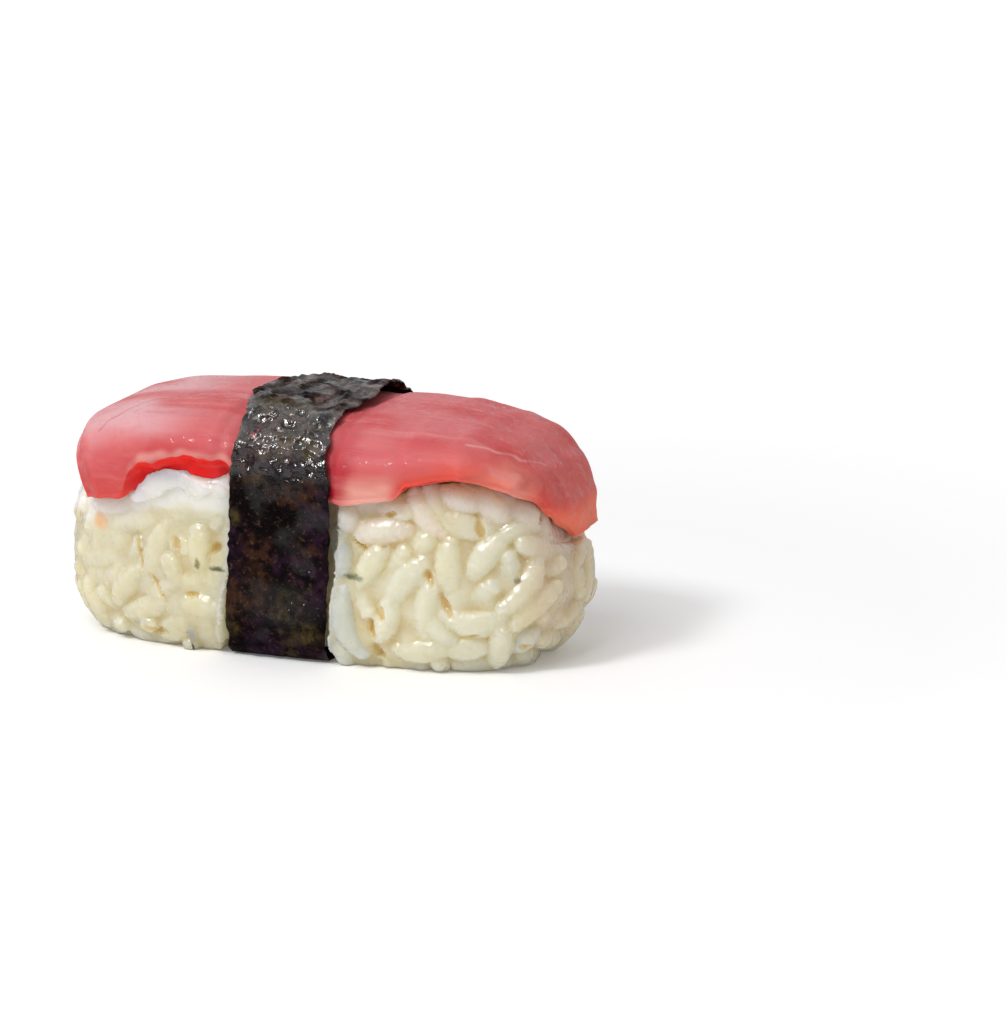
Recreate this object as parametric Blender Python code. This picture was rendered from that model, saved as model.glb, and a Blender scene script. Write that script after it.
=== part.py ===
"""One piece of tuna nigiri: a pressed block of sushi rice, a slice of raw tuna laid over it,
and a strip of nori wrapped round both.

Run with: blender --background --python part.py

The sizes below are millimetres, and mesh_object turns them into metres. +X runs along the
piece, -Y is its front, +Z is up, and the origin is at the centre of the foot, on the table.
"""

import math
import random

import bmesh
import bpy
import numpy as np

MM = 0.001
SEED = 11

# The pressed rice: a block with a rounded plan, a tucked-in foot and softly rounded shoulders.
RICE_LEFT, RICE_RIGHT = 28.0, 27.2
RICE_HALF_WIDTH = 12.7
END_FOOT_HEIGHT, LEFT_FOOT_INSET, RIGHT_FOOT_INSET = 8.0, 3.0, 4.4
SIDE_FOOT_HEIGHT, SIDE_FOOT_INSET = 5.0, 1.9
SHOULDER_START, SHOULDER_HEIGHT, SHOULDER_INSET = 7.0, 9.0, 1.1
CORE_INSET = 1.45
CORE_FOOT = 1.6

# One cooked grain of short-grain rice.
GRAIN_LENGTH = (5.9, 8.0)
GRAIN_WIDTH = (2.65, 3.15)
GRAIN_BEADS = 4
GRAIN_SIDES = 5
# Each ring of a grain: its place along the grain and its width, as shares of the whole.
GRAIN_RINGS = ((-0.68, 0.76), (0.0, 1.0), (0.68, 0.76))
GRAIN_COUNT = 280
SHELL_DEPTH = 2.3
FOOT_SINK = 0.35
SIDE_SHOWS, FOOT_SHOWS = 0.5, 0.1
UNEVEN = 0.55
LEADING_PROUD = 0.25
PACK_ROUNDS = 200
REPAIR_EVERY = 8

# The grains that lie whole on the front, each as (x, height, rise in degrees to the right, length).
# The others find their own places between them.
LEADING_GRAINS = (
    (7.0, 4.7, -77, 9.0), (5.8, 12.2, -85, 5.4), (6.3, 15.9, -24, 4.8), (10.4, 14.5, 11, 6.8),
    (14.8, 16.6, -52, 6.4), (18.2, 18.2, -16, 5.2), (21.3, 17.5, -39, 4.9), (24.3, 16.3, -36, 4.6),
    (9.2, 11.0, 59, 6.0), (24.2, 9.2, 52, 8.0), (19.6, 5.9, -3, 7.6), (24.0, 3.0, 26, 4.8),
    (14.4, 2.2, 10, 7.2), (18.8, 2.4, 8, 5.4), (10.6, 5.6, 72, 6.0), (12.9, 9.7, 52, 7.0),
    (17.4, 11.4, -85, 7.0), (21.0, 12.6, 50, 6.6),
    (-14.6, 10.2, 71, 8.2), (-9.8, 11.2, -85, 6.2), (-16.0, 4.0, 25, 7.0), (-13.0, 1.9, 40, 5.4),
    (-9.6, 4.9, -8, 6.2),
)  # fmt: skip

# The underside of the tuna along its middle line, as (x, z), from the left end to the right.
TUNA_SPINE = (
    (-22.9, 15.3), (-19.7, 16.5), (-14.0, 18.0), (-5.0, 18.7), (5.0, 18.8),
    (12.0, 19.0), (16.5, 19.4), (19.8, 19.2), (22.2, 17.9), (24.3, 15.6), (25.6, 12.6),
)  # fmt: skip
# Values along the tuna, each as (x, millimetres).
TUNA_THICKNESS = (
    (-22.9, 6.1), (-21.4, 7.2), (-19.5, 7.5), (-12.0, 6.8), (-7.5, 6.7), (0.0, 6.4),
    (8.5, 6.1), (13.0, 5.8), (17.5, 4.9), (19.8, 4.2), (22.2, 3.4), (24.3, 2.5), (25.6, 1.3),
)  # fmt: skip
FRONT_EDGE = (
    (-22.9, -10.6), (-20.5, -12.4), (-16.0, -13.2), (10.0, -13.3), (18.5, -12.9),
    (22.0, -10.6), (24.0, -6.2), (25.6, 0.5),
)  # fmt: skip
BACK_EDGE = (
    (-22.9, 10.8), (-20.5, 12.4), (-16.0, 13.1), (10.0, 13.2), (19.0, 12.8), (23.0, 11.4), (25.6, 9.4),
)  # fmt: skip
FRONT_HANG = (
    (-22.9, -0.6), (-18.0, -1.3), (-15.0, -0.4), (-11.0, -0.2), (-6.0, -0.7), (5.5, -1.6),
    (11.8, -1.0), (13.4, 0.4), (17.0, 0.5), (20.5, 0.4), (23.0, 0.9), (25.6, 0.3),
)  # fmt: skip
BACK_HANG = ((-22.9, -0.6), (-12.0, -1.9), (4.0, -1.6), (16.0, -2.4), (25.6, -0.4))
# Sideways fall of the slice, in millimetres for each millimetre towards the back.
TUNA_TILT = ((13.0, 0.0), (20.0, -0.06), (25.6, -0.13))
# The back corner of the draped tip hangs this far below its middle.
TIP_DROP = 0.6
HANG_POWER = 4
SHOULDER_POWER = 3.0
TUNA_STATIONS = 32
UNDER_POINTS = 8
OVER_POINTS = 12

# A flap torn loose along the lower front edge, beside the nori: a hollow under a ragged lip.
TEAR_START, TEAR_END = -18.6, -6.6
TEAR_HEIGHT = 2.5
TEAR_DEPTH = 1.5
TEAR_FADE = 2.4
PLAIN_LIP = 0.5

# The nori strip.
NORI_LEFT, NORI_RIGHT = -6.9, 3.9
NORI_THICKNESS = 0.4
NORI_LAP = 5.0
NORI_COLUMNS = 4
NORI_ROWS = 52
NORI_SQUEEZE = 1.1
TUNA_SQUEEZE = 0.4
NORI_LEAN, NORI_LEAN_HEIGHT, NORI_LEAN_BACK = 1.4, 14.0, 6.0
NORI_SQUEEZE_FADE = 1.3
LAP_RISE = 0.6
LAP_RAMP = 3.0
LAP_CENTRE_Y = -4.0

# Touching pieces keep this much air between them.
GAP = 0.3

RICE_COLOUR = (0.86, 0.83, 0.68, 1.0)
TUNA_COLOUR = (0.75, 0.16, 0.15, 1.0)
NORI_COLOUR = (0.022, 0.018, 0.016, 1.0)


def clear_scene():
    for obj in list(bpy.data.objects):
        bpy.data.objects.remove(obj)


def material(name, colour, roughness):
    """A Principled material of one colour."""
    made = bpy.data.materials.new(name)
    made.use_nodes = True
    shader = made.node_tree.nodes["Principled BSDF"]
    shader.inputs["Base Color"].default_value = colour
    shader.inputs["Roughness"].default_value = roughness
    shader.inputs["Metallic"].default_value = 0.0
    made.diffuse_color = colour
    return made


def mesh_object(name, points, faces, collection=None):
    """An object from points in millimetres and faces of any size, its normals facing out."""
    mesh = bpy.data.meshes.new(name)
    mesh.from_pydata([tuple(float(c) * MM for c in p) for p in points], [], faces)
    shaped = bmesh.new()
    shaped.from_mesh(mesh)
    bmesh.ops.recalc_face_normals(shaped, faces=shaped.faces)
    shaped.to_mesh(mesh)
    shaped.free()
    mesh.shade_smooth()
    obj = bpy.data.objects.new(name, mesh)
    (collection or bpy.context.scene.collection).objects.link(obj)
    return obj


def loft(rings, closed_ends=True):
    """Points and faces of a skin over equal rings, with its two ends closed by fans."""
    count = len(rings[0])
    points = [p for ring in rings for p in ring]
    faces = []
    for r in range(len(rings) - 1):
        for i in range(count):
            j = (i + 1) % count
            here, after = r * count, (r + 1) * count
            faces.append((here + i, here + j, after + j, after + i))
    if closed_ends:
        for start in (0, (len(rings) - 1) * count):
            hub = len(points)
            points.append(np.mean(points[start : start + count], axis=0))
            faces += [(start + (i + 1) % count, start + i, hub) for i in range(count)]
    return points, faces


def smooth(t):
    """0 to 1 with level ends."""
    t = np.clip(t, 0.0, 1.0)
    return t * t * (3.0 - 2.0 * t)


def along(table, x):
    """A value at x from (x, value) pairs, eased between them."""
    xs, values = (np.array(column, float) for column in zip(*table))
    x = np.clip(x, xs[0], xs[-1])
    i = np.clip(np.searchsorted(xs, x, side="right") - 1, 0, len(xs) - 2)
    share = smooth((x - xs[i]) / (xs[i + 1] - xs[i]))
    return values[i] + share * (values[i + 1] - values[i])


def curve_through(knots, per_span=12):
    """A Catmull-Rom curve through the knots, as an array of points."""
    knots = np.array(knots, float)
    padded = np.vstack([2 * knots[0] - knots[1], knots, 2 * knots[-1] - knots[-2]])
    found = []
    for a, b, c, d in zip(padded, padded[1:], padded[2:], padded[3:]):
        for t in np.arange(per_span) / per_span:
            bend = 2 * a - 5 * b + 4 * c - d
            twist = 3 * (b - c) + d - a
            found.append(0.5 * (2 * b + (c - a) * t + bend * t**2 + twist * t**3))
    return np.array(found + [knots[-1]])


SPINE = curve_through(TUNA_SPINE)


def edge_hang(x, y):
    """How far the underside of the slice lies over its middle line at y."""
    front = y < 0
    hang = np.where(front, along(FRONT_HANG, x), along(BACK_HANG, x))
    edge = np.where(front, np.minimum(along(FRONT_EDGE, x), -4.0), along(BACK_EDGE, x))
    return along(TUNA_TILT, x) * y + hang * np.clip(y / edge, 0.0, 1.0) ** HANG_POWER


def spine_height(x):
    return np.interp(x, SPINE[:, 0], SPINE[:, 1])


def under_height(x, y):
    """Height of the tuna's underside over a point of the rice."""
    slope = (spine_height(x + 0.2) - spine_height(x - 0.2)) / 0.4
    height = spine_height(x) + edge_hang(x, y) * np.sqrt(1.0 + slope * slope)
    return np.maximum(height, TUNA_SPINE[-1][1] - TIP_DROP)


def strip_x(base, y, z):
    """Where a long line of the strip runs: it leans to the right as it climbs the front."""
    return base + NORI_LEAN * smooth(z / NORI_LEAN_HEIGHT) * smooth(0.5 - 0.5 * y / NORI_LEAN_BACK)


def squeeze(x, y, z):
    """1 under the nori strip, falling to 0 beside it."""
    outside = np.maximum(strip_x(NORI_LEFT, y, z) - GAP - x, x - strip_x(NORI_RIGHT, y, z) - GAP)
    return 1.0 - smooth(outside / NORI_SQUEEZE_FADE)


def foot_inset(z, height, inset):
    """How far the foot of the block is tucked in at a height."""
    return inset * np.clip(1.0 - z / height, 0.0, 1.0) ** 2


def shoulder_inset(z):
    return SHOULDER_INSET * np.clip((z - SHOULDER_START) / SHOULDER_HEIGHT, 0.0, 1.5) ** 2


def rice_reach(x, z):
    """How far the block reaches at a height, on the side of x."""
    left = RICE_LEFT - foot_inset(z, END_FOOT_HEIGHT, LEFT_FOOT_INSET)
    right = RICE_RIGHT - foot_inset(z, END_FOOT_HEIGHT, RIGHT_FOOT_INSET)
    return np.where(x < 0, left, right) - shoulder_inset(z)


def rice_half_width(x, y, z):
    """How far the block reaches to the side of y."""
    free = RICE_HALF_WIDTH - foot_inset(z, SIDE_FOOT_HEIGHT, SIDE_FOOT_INSET)
    return free - 0.3 * shoulder_inset(z) - NORI_SQUEEZE * squeeze(x, y, z)


def rice_floor(x, y):
    """The lowest height that the rice may reach: over the lapped strip it is lifted."""
    return (NORI_THICKNESS + GAP + LAP_RISE + 0.25) * squeeze(x, y, 0.0)


def plan_field(points):
    """1 on the side wall of the rice block, less inside it."""
    x, y, z = points.T
    along_share = np.abs(x) / rice_reach(x, z)
    across_share = np.abs(y) / rice_half_width(x, y, z)
    return np.cbrt(along_share**3 + across_share**3)


def side_wall(points):
    """Depth of each point behind the side wall, and the unit direction that leads inwards."""
    step = 0.05
    here = plan_field(points)
    slope = np.stack(
        [(plan_field(points + step * axis) - here) / step for axis in np.eye(3)], axis=1
    )
    steep = np.sqrt((slope * slope).sum(1)) + 1e-9
    return (1.0 - here) / steep, -slope / steep[:, None]


def top_wall(points):
    """Depth of each point under the tuna's underside, and the unit direction that leads down."""
    step = 0.05
    x, y, z = points.T
    height = under_height(x, y)
    slope_x = (under_height(x + step, y) - height) / step
    slope_y = (under_height(x, y + step) - height) / step
    down = np.stack([slope_x, slope_y, -np.ones_like(x)], axis=1)
    steep = np.sqrt((down * down).sum(1))
    return (height - z) / steep - GAP, down / steep[:, None]


def on_front(x, z, depth):
    """Points at a depth behind the front wall of the block."""
    across = np.cbrt(1.0 - np.minimum(np.abs(x) / rice_reach(x, z), 0.999) ** 3)
    points = np.stack([x, -rice_half_width(x, -1.0, z) * across, z], axis=1)
    for _ in range(3):
        behind, inwards = side_wall(points)
        points = points + inwards * (depth - behind)[:, None]
    return points


class Grains:
    """Rice grains as short rows of beads, pushed apart inside the walls until they lie packed."""

    def __init__(self, count, seed):
        draw = random.Random(seed)
        self.length = np.array([draw.uniform(*GRAIN_LENGTH) for _ in range(count)])
        self.radius = np.array([draw.uniform(*GRAIN_WIDTH) / 2 for _ in range(count)])
        self.slack = np.array([draw.uniform(-1.0, 1.0) * UNEVEN for _ in range(count)])
        centres = np.array([self.start(draw) for _ in range(count)])
        axes = np.array([[draw.gauss(0, 1) for _ in range(3)] for _ in range(count)])
        axes /= np.linalg.norm(axes, axis=1)[:, None]
        self.length[: len(LEADING_GRAINS)] = [grain[3] for grain in LEADING_GRAINS]
        share = np.linspace(-1.0, 1.0, GRAIN_BEADS)
        self.offsets = (self.length / 2 - self.radius)[:, None] * share[None, :]
        self.beads = centres[:, None, :] + axes[:, None, :] * self.offsets[:, :, None]
        self.leading = np.array([self.lead(n) for n in range(len(LEADING_GRAINS))])

    def lead(self, n):
        """The beads of a leading grain, which follow the curve of the front."""
        x, z, rise, _ = LEADING_GRAINS[n]
        turn = math.radians(rise)
        ends = on_front(np.array([x - 0.5, x + 0.5]), np.array([z, z]), 0.0)
        run = (ends[1] - ends[0])[0] / np.linalg.norm(ends[1] - ends[0])
        xs = x + self.offsets[n] * math.cos(turn) * run
        zs = np.maximum(z + self.offsets[n] * math.sin(turn), self.radius[n] - FOOT_SINK)
        return on_front(xs, zs, np.full(GRAIN_BEADS, self.radius[n] - LEADING_PROUD))

    @staticmethod
    def start(draw):
        """A random place in the shell just inside the walls."""
        while True:
            place = np.array(
                [[draw.uniform(-RICE_LEFT, RICE_RIGHT),
                  draw.uniform(-RICE_HALF_WIDTH, RICE_HALF_WIDTH),
                  draw.uniform(0.0, 21.0)]]
            )  # fmt: skip
            side, top = side_wall(place)[0][0], top_wall(place)[0][0]
            if top > 0.0 and 0.0 < min(side, place[0, 2]) < SHELL_DEPTH + 0.5:
                return place[0]

    def straighten(self):
        """Puts the beads of each grain back on one straight row."""
        centres = self.beads.mean(axis=1)
        away = self.beads - centres[:, None, :]
        axes = (away * self.offsets[:, :, None]).sum(axis=1)
        axes /= np.linalg.norm(axes, axis=1)[:, None] + 1e-9
        self.beads = centres[:, None, :] + axes[:, None, :] * self.offsets[:, :, None]

    def near_pairs(self, flat, reach):
        """Pairs of beads of different grains that lie within reach."""
        owner = np.repeat(np.arange(len(self.length)), GRAIN_BEADS)
        square = (flat * flat).sum(1)
        apart = square[:, None] + square[None, :] - 2.0 * flat @ flat.T
        first, second = np.nonzero(np.triu(apart < reach * reach, 1))
        other = owner[first] != owner[second]
        return first[other], second[other]

    def push_apart(self, first, second):
        flat = self.beads.reshape(-1, 3)
        radius = np.repeat(self.radius, GRAIN_BEADS)
        between = flat[first] - flat[second]
        apart = np.sqrt((between * between).sum(1)) + 1e-9
        short = np.maximum(radius[first] + radius[second] - apart, 0.0)
        push = between * (0.35 * short / apart)[:, None]
        np.add.at(flat, first, push)
        np.add.at(flat, second, -push)

    def keep_in_walls(self):
        """Presses every bead into the shell between the walls and the inside."""
        flat = self.beads.reshape(-1, 3)
        radius = np.repeat(self.radius, GRAIN_BEADS)
        slack = np.repeat(self.slack, GRAIN_BEADS) * (1.0 - squeeze(*flat.T))
        side, inwards = side_wall(flat)
        flat += inwards * np.maximum(radius - slack - side, 0.0)[:, None]
        top, down = top_wall(flat)
        flat += down * np.maximum(radius - top, 0.0)[:, None]
        flat[:, 2] = np.maximum(flat[:, 2], rice_floor(flat[:, 0], flat[:, 1]) + radius - FOOT_SINK)
        self.draw_outwards(flat, side, inwards)

    @staticmethod
    def draw_outwards(flat, side, inwards):
        """Beads that sank below the shell go back to the side wall or the foot."""
        lift = flat[:, 2]
        deep = np.maximum(np.minimum(side, lift) - SHELL_DEPTH, 0.0)[:, None]
        to_side = (side < lift)[:, None]
        flat += np.where(to_side, -inwards, np.array([0.0, 0.0, -1.0])) * deep * 0.5

    def settle(self):
        """Runs the packing, and returns nothing: the beads lie where they came to rest."""
        for turn in range(PACK_ROUNDS):
            flat = self.beads.reshape(-1, 3)
            if turn % REPAIR_EVERY == 0:
                first, second = self.near_pairs(flat, 2.0 * GRAIN_WIDTH[1])
            self.push_apart(first, second)
            self.keep_in_walls()
            self.straighten()
            self.beads[: len(self.leading)] = self.leading

    def showing(self):
        """The grains that reach the open sides or the foot of the block."""
        flat = self.beads.reshape(-1, 3)
        shape = (len(self.length), GRAIN_BEADS)
        side = side_wall(flat)[0].reshape(shape).min(axis=1) - self.radius
        foot = flat[:, 2].reshape(shape).min(axis=1) - self.radius
        clear = squeeze(*flat.T).reshape(shape).min(axis=1) < 0.5
        return np.nonzero(clear & ((side < SIDE_SHOWS) | (foot < FOOT_SHOWS)))[0]


def grain_shape(row, radius):
    """Points and faces of one plain grain along a row of beads."""
    centre = row.mean(axis=0)
    axis = row[-1] - row[0]
    half = np.linalg.norm(axis) / 2 + radius
    axis /= np.linalg.norm(axis)
    side = np.cross(axis, (0.0, 0.0, 1.0) if abs(axis[2]) < 0.9 else (1.0, 0.0, 0.0))
    side /= np.linalg.norm(side)
    other = np.cross(axis, side)
    points = [centre - axis * half]
    for share, width_share in GRAIN_RINGS:
        width = radius * width_share
        for i in range(GRAIN_SIDES):
            turn = 2 * math.pi * i / GRAIN_SIDES
            around = math.cos(turn) * side + math.sin(turn) * other
            points.append(centre + axis * half * share + around * width)
    points.append(centre + axis * half)
    last = len(points) - 1
    faces = []
    for i in range(GRAIN_SIDES):
        j = (i + 1) % GRAIN_SIDES
        faces.append((0, 1 + j, 1 + i))
        for ring in range(len(GRAIN_RINGS) - 1):
            low, high = 1 + ring * GRAIN_SIDES, 1 + (ring + 1) * GRAIN_SIDES
            faces.append((low + i, low + j, high + j, high + i))
        high = 1 + (len(GRAIN_RINGS) - 1) * GRAIN_SIDES
        faces.append((high + i, high + j, last))
    return points, faces


def press_in(points):
    """Pulls the points of a grain that reach the nori or the tuna in behind them."""
    points = np.array(points)
    depth, down = top_wall(points)
    points += down * np.maximum(-depth, 0.0)[:, None]
    x, y, z = points.T
    by_strip = squeeze(x, y, z) > 0.0
    half = rice_half_width(x, y, z) - 0.1
    points[:, 1] = np.where(by_strip, np.clip(y, -half, half), y)
    points[:, 2] = np.where(by_strip, np.maximum(z, rice_floor(x, y)), z)
    return points


def core_ring(height, count=44):
    """One level ring of the bare core, kept under the tuna."""
    ring = []
    for i in range(count):
        turn = 2 * math.pi * i / count
        cos, sin = math.cos(turn), math.sin(turn)
        reach = (abs(cos) ** 3 + abs(sin) ** 3) ** (-1 / 3)
        x = (float(rice_reach(cos, height)) - CORE_INSET) * reach * cos
        y = (float(rice_half_width(x, sin, height)) - CORE_INSET) * reach * sin
        ceiling = float(under_height(x, y)) - CORE_INSET
        ring.append((x, y, min(height, ceiling)))
    return ring


def bare_core():
    """The pressed mass inside the grains."""
    heights = (CORE_FOOT, 2.8, 5.0, 8.0, 12.0, 15.0, 17.0, 18.4)
    rings = [core_ring(h) for h in heights]
    top = core_ring(18.6)
    rings += [[(x * s, y * s, float(under_height(x * s, y * s)) - CORE_INSET) for x, y, _ in top]
              for s in (0.85, 0.5)]  # fmt: skip
    return loft(rings)


def join_grains(core, grains, shown):
    """Fuses the showing grains onto the core with one union, then cuts the foot level."""
    loose = bpy.data.collections.new("grains")
    bpy.context.scene.collection.children.link(loose)
    for n in shown:
        points, faces = grain_shape(grains.beads[n], grains.radius[n])
        mesh_object(f"grain_{n}", press_in(points), faces, loose)
    union = core.modifiers.new("grains", "BOOLEAN")
    union.operation = "UNION"
    union.operand_type = "COLLECTION"
    union.collection = loose
    union.solver = "MANIFOLD"
    apply_modifier(core, union)
    for obj in list(loose.objects):
        bpy.data.objects.remove(obj)
    bpy.data.collections.remove(loose)


def cut_level(obj):
    """Takes off what reaches below the table."""
    bpy.ops.mesh.primitive_cube_add(size=1.0)
    cutter = bpy.context.active_object
    cutter.scale = (0.2, 0.2, 0.02)
    cutter.location = (0.0, 0.0, -0.01)
    bpy.context.view_layer.update()
    cut = obj.modifiers.new("foot", "BOOLEAN")
    cut.operation = "DIFFERENCE"
    cut.object = cutter
    cut.solver = "MANIFOLD"
    apply_modifier(obj, cut)
    bpy.data.objects.remove(cutter)


def apply_modifier(obj, modifier):
    bpy.ops.object.select_all(action="DESELECT")
    obj.select_set(True)
    bpy.context.view_layer.objects.active = obj
    bpy.ops.object.modifier_apply(modifier=modifier.name)


def keep_largest(obj):
    """Drops scraps that the union left loose and fills the hollows it sealed."""
    shaped = bmesh.new()
    shaped.from_mesh(obj.data)
    left = set(shaped.verts)
    groups = []
    while left:
        stack = [left.pop()]
        group = list(stack)
        while stack:
            for edge in stack.pop().link_edges:
                for vert in edge.verts:
                    if vert in left:
                        left.remove(vert)
                        stack.append(vert)
                        group.append(vert)
        groups.append(group)
    groups.sort(key=len)
    for group in groups[:-1]:
        bmesh.ops.delete(shaped, geom=group, context="VERTS")
    shaped.to_mesh(obj.data)
    shaped.free()


def make_rice():
    grains = Grains(GRAIN_COUNT, SEED)
    grains.settle()
    rice = mesh_object("rice", *bare_core())
    join_grains(rice, grains, grains.showing())
    cut_level(rice)
    keep_largest(rice)
    rice.data.materials.clear()
    rice.data.materials.append(material("rice", RICE_COLOUR, 0.35))
    rice.data.set_sharp_from_angle(angle=math.radians(40))
    return rice


def tear(x):
    """1 along the torn flap, falling to 0 at its left end."""
    return float(smooth((x - TEAR_START) / TEAR_FADE) * smooth((TEAR_END + TEAR_FADE - x) / TEAR_FADE))


def tuna_section(x):
    """The slice's outline at a station, as (y, height over the spine), all the way round."""
    pressed = float(squeeze(x, 0.0, NORI_LEAN_HEIGHT))
    front_y = float(along(FRONT_EDGE, x)) + TUNA_SQUEEZE * pressed
    back_y = float(along(BACK_EDGE, x)) - TUNA_SQUEEZE * pressed
    thick = float(along(TUNA_THICKNESS, x)) - TUNA_SQUEEZE * pressed
    middle, half = (front_y + back_y) / 2, (back_y - front_y) / 2
    torn = tear(x)
    lip = PLAIN_LIP + (TEAR_HEIGHT - PLAIN_LIP) * torn
    inner = front_y + TEAR_DEPTH * torn
    outline = []
    for share in np.linspace(1.0, -1.0, UNDER_POINTS):
        y = middle + half * float(share)
        outline.append((max(y, inner), float(edge_hang(x, y))))
    front, back = outline[-1][1], outline[0][1]
    outline.append((inner + 0.25 * torn, front + 0.5 * lip))
    outline.append((front_y + 0.12, front + lip))
    for i in range(1, OVER_POINTS):
        turn = math.pi * i / OVER_POINTS
        base = front + lip + (back - front - lip) * i / OVER_POINTS
        y = middle - half * math.copysign(abs(math.cos(turn)) ** (2 / SHOULDER_POWER), math.cos(turn))
        top = thick + float(along(TUNA_TILT, x)) * y
        outline.append((y, base + (top - base) * math.sin(turn) ** (2 / SHOULDER_POWER)))
    return outline


def spine_stations(count):
    """Places along the spine, closer together at its ends, each with its direction."""
    steps = np.linalg.norm(np.diff(SPINE, axis=0), axis=1)
    run = np.concatenate([[0.0], np.cumsum(steps)])
    share = np.linspace(0.0, 1.0, count)
    share = 0.75 * share + 0.25 * smooth(share)
    at = share * run[-1]
    places = np.stack([np.interp(at, run, SPINE[:, k]) for k in (0, 1)], axis=1)
    ahead = np.stack([np.interp(at + 0.2, run, SPINE[:, k]) for k in (0, 1)], axis=1)
    behind = np.stack([np.interp(at - 0.2, run, SPINE[:, k]) for k in (0, 1)], axis=1)
    way = ahead - behind
    return places, way / np.linalg.norm(way, axis=1)[:, None]


def make_tuna():
    rings = []
    for (x, z), (way_x, way_z) in zip(*spine_stations(TUNA_STATIONS)):
        ring = [(x - way_z * n, y, z + way_x * n) for y, n in tuna_section(x)]
        rings.append(ring)
    tuna = mesh_object("tuna", *loft(rings))
    tuna.data.materials.append(material("tuna", TUNA_COLOUR, 0.4))
    tuna.data.set_sharp_from_angle(angle=math.radians(50))
    return tuna


def wrapped_outline(base, directions=720):
    """The taut line of the strip round the tuna and the rice, as a closed run of (x, y, z)."""
    tuna_x = float(strip_x(base, 0.0, NORI_LEAN_HEIGHT))
    held = [(y, float(spine_height(tuna_x)) + n) for y, n in tuna_section(tuna_x)]
    for z in np.linspace(NORI_THICKNESS + GAP, 17.0, 60):
        for side in (-1.0, 1.0):
            half = rice_half_width(strip_x(base, side * RICE_HALF_WIDTH, z), side, z)
            held.append((side * float(half), z))
    held = np.array(held)
    turns = np.linspace(0, 2 * math.pi, directions, endpoint=False) - math.pi / 2
    outwards = np.stack([np.cos(turns), np.sin(turns)], axis=1)
    loop = held[np.argmax(outwards @ held.T, axis=1)] + GAP * outwards
    return np.column_stack([strip_x(base, *loop.T), loop])


def strip_path(base):
    """One long line of the strip: its places and outward directions, one end lapped on the other."""
    loop = wrapped_outline(base)
    closed = np.vstack([loop, loop[:1]])
    steps = np.linalg.norm(np.diff(closed[:, 1:], axis=0), axis=1)
    run = np.concatenate([[0.0], np.cumsum(steps)])
    whole = run[-1]
    raised = loop[:, 2] > NORI_THICKNESS + 0.01
    lowest = np.argmin(np.abs(loop[:, 1] - LAP_CENTRE_Y) + 1000 * raised)
    start = run[lowest] + LAP_CENTRE_Y - loop[lowest, 1]
    at = np.linspace(-NORI_LAP / 2, whole + NORI_LAP / 2, NORI_ROWS)

    def places(shift):
        there = (start + at + shift) % whole
        return np.stack([np.interp(there, run, closed[:, k]) for k in range(3)], axis=1)

    way = (places(0.3) - places(-0.3))[:, 1:]
    way /= np.linalg.norm(way, axis=1)[:, None]
    outwards = np.stack([np.zeros(NORI_ROWS), way[:, 1], -way[:, 0]], axis=1)
    lift = LAP_RISE * smooth((at - (whole - NORI_LAP / 2 - LAP_RAMP)) / LAP_RAMP)
    return places(0.0) - outwards * lift[:, None], outwards


def make_nori():
    """A thin closed strip: its inner face, its outer face, and the four edges between them."""
    points = []
    for base in np.linspace(NORI_LEFT, NORI_RIGHT, NORI_COLUMNS):
        for place, outwards in zip(*strip_path(float(base))):
            points += [place, place + outwards * NORI_THICKNESS]
    faces = []

    def index(column, row, side):
        return (column * NORI_ROWS + row) * 2 + side

    for c in range(NORI_COLUMNS - 1):
        for r in range(NORI_ROWS - 1):
            for side in (0, 1):
                quad = [index(c, r, side), index(c + 1, r, side), index(c + 1, r + 1, side), index(c, r + 1, side)]
                faces.append(quad)
        for r in (0, NORI_ROWS - 1):
            faces.append([index(c, r, 0), index(c + 1, r, 0), index(c + 1, r, 1), index(c, r, 1)])
    for c in (0, NORI_COLUMNS - 1):
        for r in range(NORI_ROWS - 1):
            faces.append([index(c, r, 0), index(c, r + 1, 0), index(c, r + 1, 1), index(c, r, 1)])
    nori = mesh_object("nori", points, faces)
    nori.data.materials.append(material("nori", NORI_COLOUR, 0.5))
    nori.data.set_sharp_from_angle(angle=math.radians(35))
    return nori


def main():
    clear_scene()
    make_rice()
    make_tuna()
    make_nori()


main()
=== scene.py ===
"""The looks of one piece of tuna nigiri: sticky rice grains, a slice of raw tuna and a strip of nori.

The sizes below are millimetres, and mesh_piece turns them into metres. +X runs along the
piece, -Y is its front, +Z is up, and the origin is at the centre of the foot, on the table.
"""

import math
import random

import bmesh
import bpy
import numpy as np
from mathutils import Matrix, Vector


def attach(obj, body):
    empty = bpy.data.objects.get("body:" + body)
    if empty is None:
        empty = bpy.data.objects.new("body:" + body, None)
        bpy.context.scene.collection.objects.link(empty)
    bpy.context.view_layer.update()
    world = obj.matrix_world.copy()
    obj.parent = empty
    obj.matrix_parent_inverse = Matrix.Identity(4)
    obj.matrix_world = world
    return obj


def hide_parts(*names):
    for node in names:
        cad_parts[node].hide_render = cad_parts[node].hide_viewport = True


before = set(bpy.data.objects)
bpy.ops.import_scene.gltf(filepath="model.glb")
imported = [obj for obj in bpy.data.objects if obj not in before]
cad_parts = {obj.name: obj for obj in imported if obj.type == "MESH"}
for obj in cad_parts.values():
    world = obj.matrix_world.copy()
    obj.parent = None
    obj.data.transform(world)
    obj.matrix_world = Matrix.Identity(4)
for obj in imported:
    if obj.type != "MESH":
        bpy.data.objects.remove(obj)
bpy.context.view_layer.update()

MM = 0.001
SEED = 11

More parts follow.
